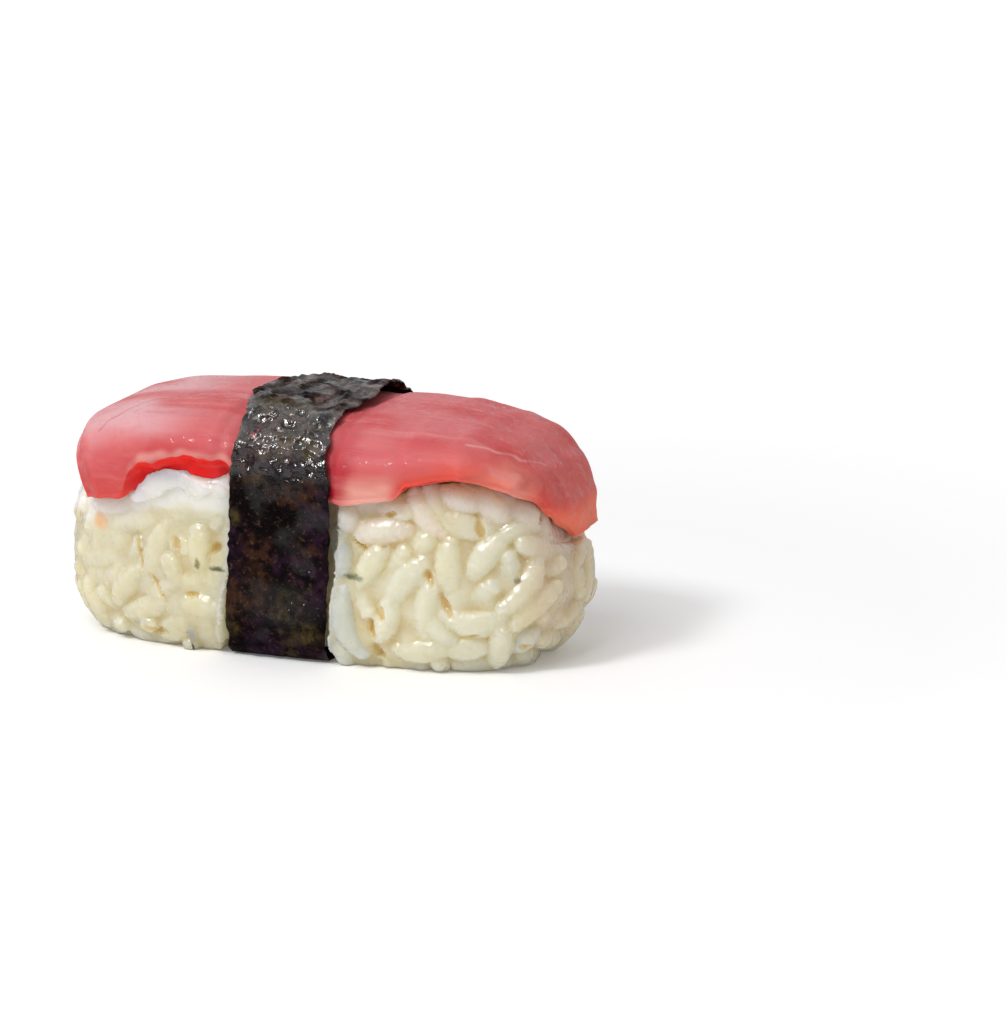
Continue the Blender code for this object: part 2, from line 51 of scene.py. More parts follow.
# The pressed rice: a block with a rounded plan, a tucked-in foot and softly rounded shoulders.
RICE_LEFT, RICE_RIGHT = 28.0, 27.2
RICE_HALF_WIDTH = 12.7
END_FOOT_HEIGHT, LEFT_FOOT_INSET, RIGHT_FOOT_INSET = 8.0, 3.0, 4.4
SIDE_FOOT_HEIGHT, SIDE_FOOT_INSET = 5.0, 1.9
SHOULDER_START, SHOULDER_HEIGHT, SHOULDER_INSET = 7.0, 9.0, 1.1

# How the grains are packed. Lengths and widths are ranges, and a shell along the walls holds them all.
GRAIN_LENGTH = (5.9, 8.0)
GRAIN_WIDTH = (2.65, 3.15)
GRAIN_BEADS = 4
GRAIN_COUNT = 280
START_HEIGHT = 21.0
SHELL_DEPTH = 2.3
FOOT_SINK = 0.35
SIDE_SHOWS, FOOT_SHOWS = 0.5, 0.1
UNEVEN = 0.55
LEADING_PROUD = 0.25
PACK_ROUNDS = 200
REPAIR_EVERY = 8
PUSH_SHARE, DRAW_SHARE = 0.35, 0.5
SLOPE_STEP = 0.05

# The grains that lie whole on the front, each as (x, height, rise in degrees to the right, length).
LEADING_GRAINS = (
    (7.0, 4.7, -77, 9.0), (5.8, 12.2, -85, 5.4), (6.3, 15.9, -24, 4.8), (10.4, 14.5, 11, 6.8),
    (14.8, 16.6, -52, 6.4), (18.2, 18.2, -16, 5.2), (21.3, 17.5, -39, 4.9), (24.3, 16.3, -36, 4.6),
    (9.2, 11.0, 59, 6.0), (24.2, 9.2, 52, 8.0), (19.6, 5.9, -3, 7.6), (24.0, 3.0, 26, 4.8),
    (14.4, 2.2, 10, 7.2), (18.8, 2.4, 8, 5.4), (10.6, 5.6, 72, 6.0), (12.9, 9.7, 52, 7.0),
    (17.4, 11.4, -85, 7.0), (21.0, 12.6, 50, 6.6),
    (-14.6, 10.2, 71, 8.2), (-9.8, 11.2, -85, 6.2), (-16.0, 4.0, 25, 7.0), (-13.0, 1.9, 40, 5.4),
    (-9.6, 4.9, -8, 6.2),
)  # fmt: skip
# How far some of them bow to the left of their own direction, by their place in the list,
# and how far some have sunk sideways against the strip since they were laid.
LEADING_BOWS = {0: -0.9, 9: -0.9, 10: -0.8, 3: 0.3, 18: 0.25}
LEADING_SHIFTS = {0: -0.4, 1: -1.1, 2: -0.9}
# The opaque white ones, the glassy ones under the edge of the tuna, and those that stand proud.
WHITE_GRAINS = (0, 1, 11)
GLASSY_GRAINS = (2, 3, 4, 5, 6, 7)
PROUD_GRAINS = (0, 1, 2, 3, 4, 5, 6, 7, 9, 11)

# The shape of a grain as it shows, and how far it may stand out of the wall or lie behind it.
CHAIN_POINTS = 7
CHAIN_SIDES = 8
GRAIN_END_WIDTH = 0.66
GRAIN_TAPER = 2.2
GRAIN_BOW = 0.45
LEVELS = (-0.25, 0.3)
PROUD_LEVEL = 0.5
# Short broken grains between the whole ones.
SCRAP_TRIES = 900
SCRAP_LENGTH = (1.4, 4.0)
SCRAP_WIDTH = (1.9, 2.7)
SCRAP_DEPTH = (0.9, 1.15)
SCRAP_NARROWING = 0.3
SCRAP_BOW = 0.3
SCRAP_ROOM = 0.25

# The core that the grains lie in, how far it stays behind them, and a mashed patch at the right.
CORE_SIDES = 120
CORE_HEIGHTS = (0.6, 18.6, 26)
CORE_TOP_SHARES = (0.9, 0.75, 0.5, 0.25)
CORE_INSET, MASHED_INSET, TOP_INSET = 0.78, 0.5, 0.1
MASH_X, MASH_Z, MASH_RADIUS = 15.0, 8.0, 4.6

# How widely grains and core run into each other, and into the walls.
MELT, WALL_MELT = 0.085, 0.08
# How far the grains are flattened behind the walls: plainly, more where mashed, and under the strip.
PRESS, PRESS_MASHED, PRESS_UNEVEN, PRESS_UNDER_STRIP = -0.22, 0.16, 0.12, 0.25
# The strip's dent in the finished rice has steep sides, and the core fills out beside it.
TIGHT_FADE, TIGHT_MARGIN, BESIDE_STRIP = 0.3, 0.05, 0.7

# The mesh of the rice: its voxels, its most faces, and the steps that draw it onto the form.
VOXEL = 0.24
RICE_FACES = 190000
LONGEST_STEP, LEAST_STEEP = 0.35, 0.15
# Where its skin counts as folded: how far it faces inwards, how deep, and how high.
FOLD_TURN, FOLD_DEPTH, FOLD_FOOT, FOLD_TOP = 0.15, 1.2, 0.8, -2.2
HEAL_RINGS, HEAL_ROUNDS = 2, 12

# Open gaps between the grains of the front, sunk in and coloured with painted shade, each as (x, height,
# half-width, half-length, slant).
GAPS = (
    (15.3, 10.0, 0.32, 0.8, 60), (20.2, 15.2, 0.4, 1.1, 70), (17.0, 7.4, 0.35, 1.3, 65),
    (10.3, 6.2, 0.42, 0.6, 80), (9.2, 4.5, 0.4, 0.9, 75), (9.5, 1.6, 0.4, 0.8, 60),
    (19.6, 4.2, 0.2, 0.7, -10), (25.2, 15.9, 0.4, 0.6, -50), (23.6, 2.5, 0.35, 0.7, 20),
    (8.0, 12.9, 0.22, 0.8, 30), (10.5, 13.0, 0.25, 0.3, 0), (11.3, 16.4, 0.25, 0.6, -20),
    (-12.2, 10.9, 0.4, 0.9, 75), (-8.0, 11.1, 0.4, 0.7, -45), (-14.2, 6.4, 0.22, 1.3, 55),
    (-10.4, 6.2, 0.25, 0.6, 0), (-15.2, 1.4, 0.45, 1.2, 0), (-16.6, 10.0, 0.15, 1.6, 75),
)  # fmt: skip
GAP_DEPTH, GAP_REACH = 0.5, 2.5

# Rice pressed up into the torn flap of the tuna, as points of a lying ridge, each as (x, y, z, width).
RIDGE = (
    (-16.6, -11.7, 15.9, 0.9), (-14.8, -11.8, 16.9, 1.3), (-13.0, -11.9, 18.0, 1.2),
    (-11.4, -11.9, 17.9, 0.9), (-9.7, -11.8, 17.1, 1.2), (-8.2, -11.7, 17.2, 0.8), (-6.4, -11.6, 16.9, 1.1),
)  # fmt: skip
RIDGE_RISE = 1.7
STAIN_X, STAIN_Z, STAIN_RADIUS = -21.5, 12.3, 1.3
# How pale the core is among the grains, whose own paleness runs from 0 to 1.
CORE_TONE = 0.3

# Linear colours.
IVORY, PALE_IVORY, YELLOW_IVORY = (0.72, 0.67, 0.47), (0.74, 0.72, 0.57), (0.72, 0.64, 0.38)
GREY_IVORY, PEARL_RICE = (0.66, 0.61, 0.43), (0.58, 0.60, 0.53)
# The salmon tint of the rice is painted pink light, reflected from the tuna onto the rice under it.
PAINTED_TUNA_REFLECTION, WHITE_RICE = (0.86, 0.72, 0.62), (0.84, 0.80, 0.72)
# The amber of the rice's right end is painted shade.
# The brown of the gaps is painted shade for the creases and gaps between grains.
PAINTED_CREVICE_SHADE, STAIN_ORANGE, SHADED_END_RICE = (0.70, 0.52, 0.20), (0.82, 0.46, 0.19), (0.68, 0.54, 0.36)
# The paler top flesh colour is a painted sheen, for faces that point up.
FLESH, DEEP_FLESH, PAINTED_SHEEN_FLESH = (0.60, 0.105, 0.11), (0.56, 0.07, 0.075), (0.62, 0.185, 0.195)
# The hazy flesh colour is a painted pale sheen on the upper left of the slice.
PAINTED_LEFT_SHEEN = (0.68, 0.36, 0.38)
# The end and tip colours are the right end's orange-red, brightened as painted light.
LOW_FLESH, PAINTED_LIGHT_END_FLESH, PAINTED_LIGHT_TIP_FLESH = (0.61, 0.075, 0.065), (0.80, 0.115, 0.075), (0.95, 0.20, 0.12)
# The dark red of the flesh beside the nori strip is painted shade.
FILM_FLESH, STRIP_SHADE_FLESH, CUT_FLESH = (0.76, 0.40, 0.31), (0.42, 0.008, 0.02), (0.85, 0.012, 0.01)
PALE_FLESH, EDGE_FLESH = (0.66, 0.19, 0.19), (0.74, 0.07, 0.04)
LIP_FLESH, SINEW, SEAM = (0.72, 0.32, 0.28), (0.72, 0.38, 0.36), (0.46, 0.05, 0.06)
NORI_BLACK, NORI_PURPLE, NORI_BROWN = (0.005, 0.0015, 0.002), (0.020, 0.006, 0.018), (0.046, 0.016, 0.006)
# The nori grey is a painted sheen on the top of the sheet.
NORI_OLIVE, PAINTED_NORI_SHEEN, TORN_RED = (0.070, 0.050, 0.014), (0.140, 0.100, 0.088), (0.45, 0.01, 0.02)

# Flecks of nori on the rice, each as (colour, x, height, half-width, half-height).
FLECKS = (
    ((0.10, 0.13, 0.02), 7.4, 9.7, 0.75, 0.26), ((0.16, 0.13, 0.05), -9.7, 9.5, 0.22, 0.5),
    ((0.20, 0.15, 0.05), 23.4, 9.9, 0.22, 0.2), ((0.05, 0.05, 0.02), -7.6, 9.1, 0.8, 0.16),
)  # fmt: skip

# The underside of the tuna along its middle line, as (x, z), from the left end to the right.
TUNA_SPINE = (
    (-22.9, 15.3), (-19.7, 16.5), (-14.0, 18.0), (-5.0, 18.7), (5.0, 18.8),
    (12.0, 19.0), (16.5, 19.4), (19.8, 19.2), (22.2, 17.9), (24.3, 15.6), (25.6, 12.6),
)  # fmt: skip
# Values along the tuna, each as (x, millimetres).
TUNA_THICKNESS = (
    (-22.9, 6.1), (-21.4, 7.2), (-19.5, 7.5), (-12.0, 6.8), (-7.5, 6.7), (0.0, 6.4),
    (8.5, 6.1), (13.0, 5.8), (17.5, 4.9), (19.8, 4.2), (22.2, 3.4), (24.3, 2.5), (25.6, 1.3),
)  # fmt: skip
FRONT_EDGE = (
    (-22.9, -10.6), (-20.5, -12.4), (-16.0, -13.2), (10.0, -13.3), (18.5, -12.9),
    (22.0, -10.6), (24.0, -6.2), (25.6, 0.5),
)  # fmt: skip
BACK_EDGE = (
    (-22.9, 10.8), (-20.5, 12.4), (-16.0, 13.1), (10.0, 13.2), (19.0, 12.8), (23.0, 11.4), (25.6, 9.4),
)  # fmt: skip
FRONT_HANG = (
    (-22.9, -0.6), (-18.0, -1.3), (-15.0, -0.4), (-11.0, -0.2), (-6.0, -0.7), (5.5, -1.6),
    (11.8, -1.0), (13.4, 0.4), (17.0, 0.5), (20.5, 0.4), (23.0, 0.9), (25.6, 0.3),
)  # fmt: skip
BACK_HANG = ((-22.9, -0.6), (-12.0, -1.9), (4.0, -1.6), (16.0, -2.4), (25.6, -0.4))
# Sideways fall of the slice, in millimetres for each millimetre towards the back.
TUNA_TILT = ((13.0, 0.0), (20.0, -0.06), (25.6, -0.13))
TIP_DROP = 0.6
HANG_POWER = 4
SHOULDER_POWER = 3.0
TUNA_STATIONS = 250
UNDER_POINTS = 36
HOLLOW_POINTS = 10
OVER_POINTS = 112
CAP_RINGS = 7
# Which way the domes of its ends bulge out, and how far.
LEFT_END_WAY, LEFT_BULGE = (-1.0, 0.0, 0.1), 0.7
RIGHT_END_WAY, RIGHT_BULGE = (0.3, 0.0, -0.2), 0.3

# A flap torn loose along the lower front edge, beside the nori: a hollow under a ragged lip.
TEAR_START, TEAR_END = -18.6, -6.6
TEAR_HEIGHT = 2.5
TEAR_DEPTH = 1.5
TEAR_FADE = 2.4
PLAIN_LIP = 0.5
# How deep red the lower front edge is, and how thin and pale, as (x, share).
RED_UNDER = (
    (-19.0, 0.0), (4.2, 0.0), (5.2, 0.8), (6.6, 0.0), (12.0, 0.0), (13.5, 0.9), (18.5, 0.7), (20.0, 0.0),
)  # fmt: skip
PALE_RIM = ((4.0, 0.0), (7.0, 0.8), (11.0, 0.9), (12.8, 0.1), (19.0, 0.1), (24.0, 0.5))
RED_EDGE = ((11.0, 0.0), (12.8, 1.0), (18.0, 0.8), (20.0, 0.0))
# A seam between two layers of the flesh on top, and a pale sinew at the right, as (x, y).
SEAM_LINE = ((-21.5, -10.2), (-20.5, -9.0), (-16.5, -5.6), (-12.6, -3.2), (-8.0, -2.4))
SINEW_LINE = ((18.5, -10.0), (21.0, -9.0), (23.0, -7.2), (24.6, -3.5))

# The nori strip, and its thin olive patches on the front as (x, height, radius).
NORI_LEFT, NORI_RIGHT = -6.9, 3.9
OLIVE_PATCHES = ((2.4, 3.4, 1.4), (2.6, 22.6, 1.3), (-5.2, 15.0, 1.0))
NORI_THICKNESS = 0.4
NORI_LAP = 5.0
NORI_COLUMNS = 70
NORI_ROWS = 560
# The strip is pulled taut over points up this high on the rice, and looked at from all round.
HELD_HEIGHT, HELD_POINTS = 17.0, 60
WRAP_DIRECTIONS = 1440
NORI_SQUEEZE = 1.1
TUNA_SQUEEZE = 0.4
NORI_LEAN, NORI_LEAN_HEIGHT, NORI_LEAN_BACK = 1.4, 14.0, 6.0
NORI_SQUEEZE_FADE = 1.3
LAP_RISE = 0.6
LAP_RAMP = 3.0
LAP_CENTRE_Y = -4.0
SHEET_THICKNESS = 0.16
# Its creases, each as (size, height where it lies calm, height where it is folded, seed), then the
# grain on them with both heights, and how far the relief may lie over the taut line.
CREASES = ((3.4, 0.1, 0.34, 51), (1.7, 0.12, 0.28, 52), (0.85, 0.13, 0.2, 53))
CREASE_GRAIN, CALM_GRAIN, FOLDED_GRAIN = 0.42, 0.07, 0.08
RELIEF_BASE, RELIEF_AT_TABLE, RELIEF_LIMITS = 0.22, 0.2, (0.02, 1.2)

# On top the strip was laid askew: how far its edges shift, as (y, millimetres).
TOP_LEFT_SHIFT = (
    (-12.0, 0.4), (-9.0, -0.2), (-5.5, -1.2), (-2.5, -1.9), (1.0, -1.2), (7.0, 1.9), (12.0, 2.6),
)  # fmt: skip
TOP_RIGHT_SHIFT = (
    (-12.0, -0.8), (-9.0, -1.2), (-5.5, -1.6), (-3.5, -0.8), (-1.0, 0.3), (4.0, 0.3), (10.0, -0.3),
)  # fmt: skip
EDGE_LIFT = 0.7

# Touching solids keep this much air between them, and the grains reach this far into it.
GAP = 0.3
CLOSE_UP = 0.5

# The camera: its direction in degrees, its distance in metres, and the pixels to a millimetre
# where the middle of the piece is.
AZIMUTH, ELEVATION = 22.0, 13.5
CAMERA_DISTANCE = 0.70
PIXELS_PER_MM = 9.8
PICTURE_WIDTH, PICTURE_HEIGHT = 1007, 1009
MIDDLE_U, MIDDLE_V = 335.0, 635.5
SENSOR_WIDTH = 36.0

# How brightly the near and the far side of the room shine on the piece, how far up it looks for
# its middle, and over which part of the way round the one passes into the other.
NEAR_SHINE, NEAR_MIRRORED, FAR_SHINE = 0.3, 0.12, 0.58
ROOM_TILT = 0.35
ROOM_PASSAGE = (-0.4, 0.6)
# The two lights, each as (place in metres, size in metres, watts), and where they point.
KEY = ((-0.07, -0.33, 0.52), 0.4, 1.4)
SPARK = ((-0.17, -0.38, 0.44), 0.12, 1.4)
LIGHT_AIM = (0.0, 0.0, 0.01)
# The table: its size in metres, its colour as seen and as mirrored, its own glow, and the haze over
# it, as a stretch in metres away from the piece and a strength.
TABLE_SIZE = 6.0
TABLE_WHITE, TABLE_MIRRORED = (0.93, 0.93, 0.935, 1), (0.4, 0.4, 0.4, 1)
TABLE_GLOW, HAZE_REACH, HAZE_GLOW = 0.1, (0.06, 0.24), 0.42


def smooth(t):
    """0 to 1 with level ends."""
    t = np.clip(t, 0.0, 1.0)
    return t * t * (3.0 - 2.0 * t)


def along(table, x):
    """A value at x from (x, value) pairs, eased between them."""
    xs, values = (np.array(column, float) for column in zip(*table))
    x = np.clip(x, xs[0], xs[-1])
    i = np.clip(np.searchsorted(xs, x, side="right") - 1, 0, len(xs) - 2)
    share = smooth((x - xs[i]) / (xs[i + 1] - xs[i]))
    return values[i] + share * (values[i + 1] - values[i])


def curve_through(knots, per_span=12):
    """A Catmull-Rom curve through the knots, as an array of points."""
    knots = np.array(knots, float)
    padded = np.vstack([2 * knots[0] - knots[1], knots, 2 * knots[-1] - knots[-2]])
    found = []
    for a, b, c, d in zip(padded, padded[1:], padded[2:], padded[3:]):
        for t in np.arange(per_span) / per_span:
            bend = 2 * a - 5 * b + 4 * c - d
            twist = 3 * (b - c) + d - a
            found.append(0.5 * (2 * b + (c - a) * t + bend * t**2 + twist * t**3))
    return np.array(found + [knots[-1]])


SPINE = curve_through(TUNA_SPINE)


def lattice(cells, seed):
    """A repeatable random value from 0 to 1 for each whole-number cell, mixed from large primes."""
    x, y, z = (cells[..., k].astype(np.int64) for k in range(3))
    mixed = (x * 73856093) ^ (y * 19349663) ^ (z * 83492791) ^ (seed * 2654435761)
    mixed = (mixed ^ (mixed >> 13)) * 1274126177
    mixed = mixed ^ (mixed >> 16)
    return (mixed & 0xFFFF) / 65535.0


def lumps(points, size, seed):
    """Smooth noise from -1 to 1 whose lumps have a size, or a size for each axis.

    The seed only tells one field from another, so that no two of them have their lumps in the same places.
    """
    at = points / np.array(size, float)
    low = np.floor(at)
    share = smooth(at - low)
    total = 0.0
    for corner in np.ndindex(2, 2, 2):
        corner = np.array(corner)
        weight = np.where(corner, share, 1.0 - share).prod(axis=-1)
        total = total + weight * lattice(low + corner, seed)
    return 2.0 * total - 1.0


def edge_hang(x, y):
    """How far the underside of the slice lies over its middle line at y."""
    front = y < 0
    hang = np.where(front, along(FRONT_HANG, x), along(BACK_HANG, x))
    edge = np.where(front, np.minimum(along(FRONT_EDGE, x), -4.0), along(BACK_EDGE, x))
    return along(TUNA_TILT, x) * y + hang * np.clip(y / edge, 0.0, 1.0) ** HANG_POWER


def spine_height(x):
    return np.interp(x, SPINE[:, 0], SPINE[:, 1])


def under_height(x, y):
    """Height of the tuna's underside over a point of the rice."""
    slope = (spine_height(x + 0.2) - spine_height(x - 0.2)) / 0.4
    height = spine_height(x) + edge_hang(x, y) * np.sqrt(1.0 + slope * slope)
    return np.maximum(height, TUNA_SPINE[-1][1] - TIP_DROP)


def strip_x(base, y, z):
    """Where a long line of the strip runs: it leans to the right as it climbs the front."""
    return base + NORI_LEAN * smooth(z / NORI_LEAN_HEIGHT) * smooth(0.5 - 0.5 * y / NORI_LEAN_BACK)


def squeeze(x, y, z, fade=NORI_SQUEEZE_FADE):
    """1 under the nori strip, falling to 0 beside it."""
    margin = TIGHT_MARGIN if fade == TIGHT_FADE else GAP
    outside = np.maximum(strip_x(NORI_LEFT, y, z) - margin - x, x - strip_x(NORI_RIGHT, y, z) - margin)
    return 1.0 - smooth(outside / fade)


def foot_inset(z, height, inset):
    """How far the foot of the block is tucked in at a height."""
    return inset * np.clip(1.0 - z / height, 0.0, 1.0) ** 2


def shoulder_inset(z):
    return SHOULDER_INSET * np.clip((z - SHOULDER_START) / SHOULDER_HEIGHT, 0.0, 1.5) ** 2


def rice_reach(x, z):
    """How far the block reaches at a height, on the side of x."""
    left = RICE_LEFT - foot_inset(z, END_FOOT_HEIGHT, LEFT_FOOT_INSET)
    right = RICE_RIGHT - foot_inset(z, END_FOOT_HEIGHT, RIGHT_FOOT_INSET)
    return np.where(x < 0, left, right) - shoulder_inset(z)


def rice_half_width(x, y, z, fade=NORI_SQUEEZE_FADE):
    """How far the block reaches to the side of y."""
    free = RICE_HALF_WIDTH - foot_inset(z, SIDE_FOOT_HEIGHT, SIDE_FOOT_INSET)
    return free - 0.3 * shoulder_inset(z) - NORI_SQUEEZE * squeeze(x, y, z, fade)


def rice_floor(x, y):
    """The lowest height that the rice may reach: over the lapped strip it is lifted."""
    return (NORI_THICKNESS + GAP + LAP_RISE + 0.25) * squeeze(x, y, 0.0)


def plan_field(points, fade):
    """1 on the side wall of the rice block, less inside it."""
    x, y, z = points.T
    along_share = np.abs(x) / rice_reach(x, z)
    across_share = np.abs(y) / rice_half_width(x, y, z, fade)
    return np.cbrt(along_share**3 + across_share**3)


def side_wall(points, fade=NORI_SQUEEZE_FADE):
    """Depth of each point behind the side wall, and the unit direction that leads inwards."""
    here = plan_field(points, fade)
    rises = [(plan_field(points + SLOPE_STEP * axis, fade) - here) / SLOPE_STEP for axis in np.eye(3)]
    slope = np.stack(rises, axis=1)
    steep = np.sqrt((slope * slope).sum(1)) + 1e-9
    return (1.0 - here) / steep, -slope / steep[:, None]


def top_wall(points):
    """Depth of each point under the tuna's underside, and the unit direction that leads down."""
    x, y, z = points.T
    height = under_height(x, y)
    slope_x = (under_height(x + SLOPE_STEP, y) - height) / SLOPE_STEP
    slope_y = (under_height(x, y + SLOPE_STEP) - height) / SLOPE_STEP
    down = np.stack([slope_x, slope_y, -np.ones_like(x)], axis=1)
    steep = np.sqrt((down * down).sum(1))
    return (height - z) / steep - GAP, down / steep[:, None]


def on_front(x, z, depth):
    """Points at a depth behind the front wall of the block."""
    across = np.cbrt(1.0 - np.minimum(np.abs(x) / rice_reach(x, z), 0.999) ** 3)
    points = np.stack([x, -rice_half_width(x, -1.0, z) * across, z], axis=1)
    for _ in range(3):
        behind, inwards = side_wall(points)
        points = points + inwards * (depth - behind)[:, None]
    return points


class Grains:
    """Rice grains as short rows of beads, pushed apart inside the walls until they lie packed."""

    def __init__(self, count, seed):
        draw = random.Random(seed)
        self.length = np.array([draw.uniform(*GRAIN_LENGTH) for _ in range(count)])
        self.radius = np.array([draw.uniform(*GRAIN_WIDTH) / 2 for _ in range(count)])
        self.slack = np.array([draw.uniform(-1.0, 1.0) * UNEVEN for _ in range(count)])
        centres = np.array([self.start(draw) for _ in range(count)])
        axes = np.array([[draw.gauss(0, 1) for _ in range(3)] for _ in range(count)])
        axes /= np.linalg.norm(axes, axis=1)[:, None]
        self.length[: len(LEADING_GRAINS)] = [grain[3] for grain in LEADING_GRAINS]
        share = np.linspace(-1.0, 1.0, GRAIN_BEADS)
        self.offsets = (self.length / 2 - self.radius)[:, None] * share[None, :]
        self.beads = centres[:, None, :] + axes[:, None, :] * self.offsets[:, :, None]
        self.leading = np.array([self.lead(n) for n in range(len(LEADING_GRAINS))])

    def lead(self, n):
        """The beads of a leading grain, which follow the curve of the front."""
        x, z, rise, _ = LEADING_GRAINS[n]
        turn = math.radians(rise)
        ends = on_front(np.array([x - 0.5, x + 0.5]), np.array([z, z]), 0.0)
        run = (ends[1] - ends[0])[0] / np.linalg.norm(ends[1] - ends[0])
        xs = x + self.offsets[n] * math.cos(turn) * run
        zs = np.maximum(z + self.offsets[n] * math.sin(turn), self.radius[n] - FOOT_SINK)
        return on_front(xs, zs, np.full(GRAIN_BEADS, self.radius[n] - LEADING_PROUD))

    @staticmethod
    def start(draw):
        """A random place in the shell just inside the walls."""
        while True:
            place = np.array(
                [[draw.uniform(-RICE_LEFT, RICE_RIGHT),
                  draw.uniform(-RICE_HALF_WIDTH, RICE_HALF_WIDTH),
                  draw.uniform(0.0, START_HEIGHT)]]
            )  # fmt: skip
            side, top = side_wall(place)[0][0], top_wall(place)[0][0]
            if top > 0.0 and 0.0 < min(side, place[0, 2]) < SHELL_DEPTH + 0.5:
                return place[0]

    def straighten(self):
        """Puts the beads of each grain back on one straight row."""
        centres = self.beads.mean(axis=1)
        away = self.beads - centres[:, None, :]
        axes = (away * self.offsets[:, :, None]).sum(axis=1)
        axes /= np.linalg.norm(axes, axis=1)[:, None] + 1e-9
        self.beads = centres[:, None, :] + axes[:, None, :] * self.offsets[:, :, None]

    def near_pairs(self, flat, reach):
        """Pairs of beads of different grains that lie within reach."""
        owner = np.repeat(np.arange(len(self.length)), GRAIN_BEADS)
        square = (flat * flat).sum(1)
        apart = square[:, None] + square[None, :] - 2.0 * flat @ flat.T
        first, second = np.nonzero(np.triu(apart < reach * reach, 1))
        other = owner[first] != owner[second]
        return first[other], second[other]

    def push_apart(self, first, second):
        flat = self.beads.reshape(-1, 3)
        radius = np.repeat(self.radius, GRAIN_BEADS)
        between = flat[first] - flat[second]
        apart = np.sqrt((between * between).sum(1)) + 1e-9
        short = np.maximum(radius[first] + radius[second] - apart, 0.0)
        push = between * (PUSH_SHARE * short / apart)[:, None]
        np.add.at(flat, first, push)
        np.add.at(flat, second, -push)

    def keep_in_walls(self):
        """Presses every bead into the shell between the walls and the inside."""
        flat = self.beads.reshape(-1, 3)
        radius = np.repeat(self.radius, GRAIN_BEADS)
        slack = np.repeat(self.slack, GRAIN_BEADS) * (1.0 - squeeze(*flat.T))
        side, inwards = side_wall(flat)
        flat += inwards * np.maximum(radius - slack - side, 0.0)[:, None]
        top, down = top_wall(flat)
        flat += down * np.maximum(radius - top, 0.0)[:, None]
        flat[:, 2] = np.maximum(flat[:, 2], rice_floor(flat[:, 0], flat[:, 1]) + radius - FOOT_SINK)
        self.draw_outwards(flat, side, inwards)

    @staticmethod
    def draw_outwards(flat, side, inwards):
        """Beads that sank below the shell go back to the side wall or the foot."""
        lift = flat[:, 2]
        deep = np.maximum(np.minimum(side, lift) - SHELL_DEPTH, 0.0)[:, None]
        to_side = (side < lift)[:, None]
        flat += np.where(to_side, -inwards, np.array([0.0, 0.0, -1.0])) * deep * DRAW_SHARE

    def settle(self):
        for turn in range(PACK_ROUNDS):
            flat = self.beads.reshape(-1, 3)
            if turn % REPAIR_EVERY == 0:
                first, second = self.near_pairs(flat, 2.0 * GRAIN_WIDTH[1])
            self.push_apart(first, second)
            self.keep_in_walls()
            self.straighten()
            self.beads[: len(self.leading)] = self.leading

    def showing(self):
        """The grains that reach the open sides or the foot of the block."""
        flat = self.beads.reshape(-1, 3)
        shape = (len(self.length), GRAIN_BEADS)
        side = side_wall(flat)[0].reshape(shape).min(axis=1) - self.radius
        foot = flat[:, 2].reshape(shape).min(axis=1) - self.radius
        clear = squeeze(*flat.T).reshape(shape).min(axis=1) < 0.5
        return np.nonzero(clear & ((side < SIDE_SHOWS) | (foot < FOOT_SHOWS)))[0]


def mesh_piece(name, points, faces):
    """A smooth-shaded piece from points in millimetres, its normals facing out."""
    mesh = bpy.data.meshes.new(name)
    mesh.from_pydata((np.asarray(points) * MM).tolist(), [], faces)
    shaped = bmesh.new()
    shaped.from_mesh(mesh)
    bmesh.ops.recalc_face_normals(shaped, faces=shaped.faces)
    shaped.to_mesh(mesh)
    shaped.free()
    mesh.shade_smooth()
    piece = bpy.data.objects.new(name, mesh)
    bpy.context.scene.collection.objects.link(piece)
    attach(piece, "root")
    return piece


def grid_faces(rows, columns, closed=False):
    """Four-sided faces over a grid of points, its columns joined round where it is closed."""
    row, column = np.meshgrid(np.arange(rows - 1), np.arange(columns - (not closed)), indexing="ij")
    after = (column + 1) % columns
    low, high = row * columns, (row + 1) * columns
    return np.stack([low + column, low + after, high + after, high + column], axis=-1).reshape(-1, 4).tolist()


def closed_tube(rings, tips=None):
    """Points and faces of a tube over equal rings, its ends closed round tips or the rings' centres."""
    rings = np.array(rings)
    rows, count = rings.shape[:2]
    if tips is None:
        tips = [rings[0].mean(axis=0), rings[-1].mean(axis=0)]
    points = np.vstack([rings.reshape(-1, 3), *tips])
    faces = grid_faces(rows, count, closed=True)
    last = (rows - 1) * count
    for i in range(count):
        j = (i + 1) % count
        faces.append((j, i, len(points) - 2))
        faces.append((last + i, last + j, len(points) - 1))
    return points, faces


def get_points(mesh):
    """The places of a mesh's points, in millimetres."""
    flat = np.empty(len(mesh.vertices) * 3)
    mesh.vertices.foreach_get("co", flat)
    return flat.reshape(-1, 3) / MM


def set_points(mesh, points):
    mesh.vertices.foreach_set("co", (points * MM).ravel())
    mesh.update()


def get_normals(mesh):
    flat = np.empty(len(mesh.vertices) * 3)
    mesh.vertex_normals.foreach_get("vector", flat)
    return flat.reshape(-1, 3)


class Tint:
    """A colour for each point of a mesh, laid on layer over layer."""

    def __init__(self, count, colour):
        self.colours = np.tile(np.array(colour, float), (count, 1))

    def lay(self, colour, share):
        share = np.clip(share, 0.0, 1.0)[:, None]
        self.colours += (np.array(colour) - self.colours) * share

    def keep(self, mesh, gloss=1.0):
        """Stores the colours, and how glossy each point is, where the material reads them."""
        full = np.column_stack([self.colours, np.broadcast_to(gloss, len(self.colours))])
        kept = mesh.color_attributes.new("tint", "FLOAT_COLOR", "POINT")
        kept.data.foreach_set("color", full.ravel())


def apply_modifier(piece, kind, **settings):
    """Runs one modifier on a piece and keeps its result."""
    modifier = piece.modifiers.new(kind, kind)
    for key, value in settings.items():
        setattr(modifier, key, value)
    bpy.ops.object.select_all(action="DESELECT")
    piece.select_set(True)
    bpy.context.view_layer.objects.active = piece
    bpy.ops.object.modifier_apply(modifier=modifier.name)


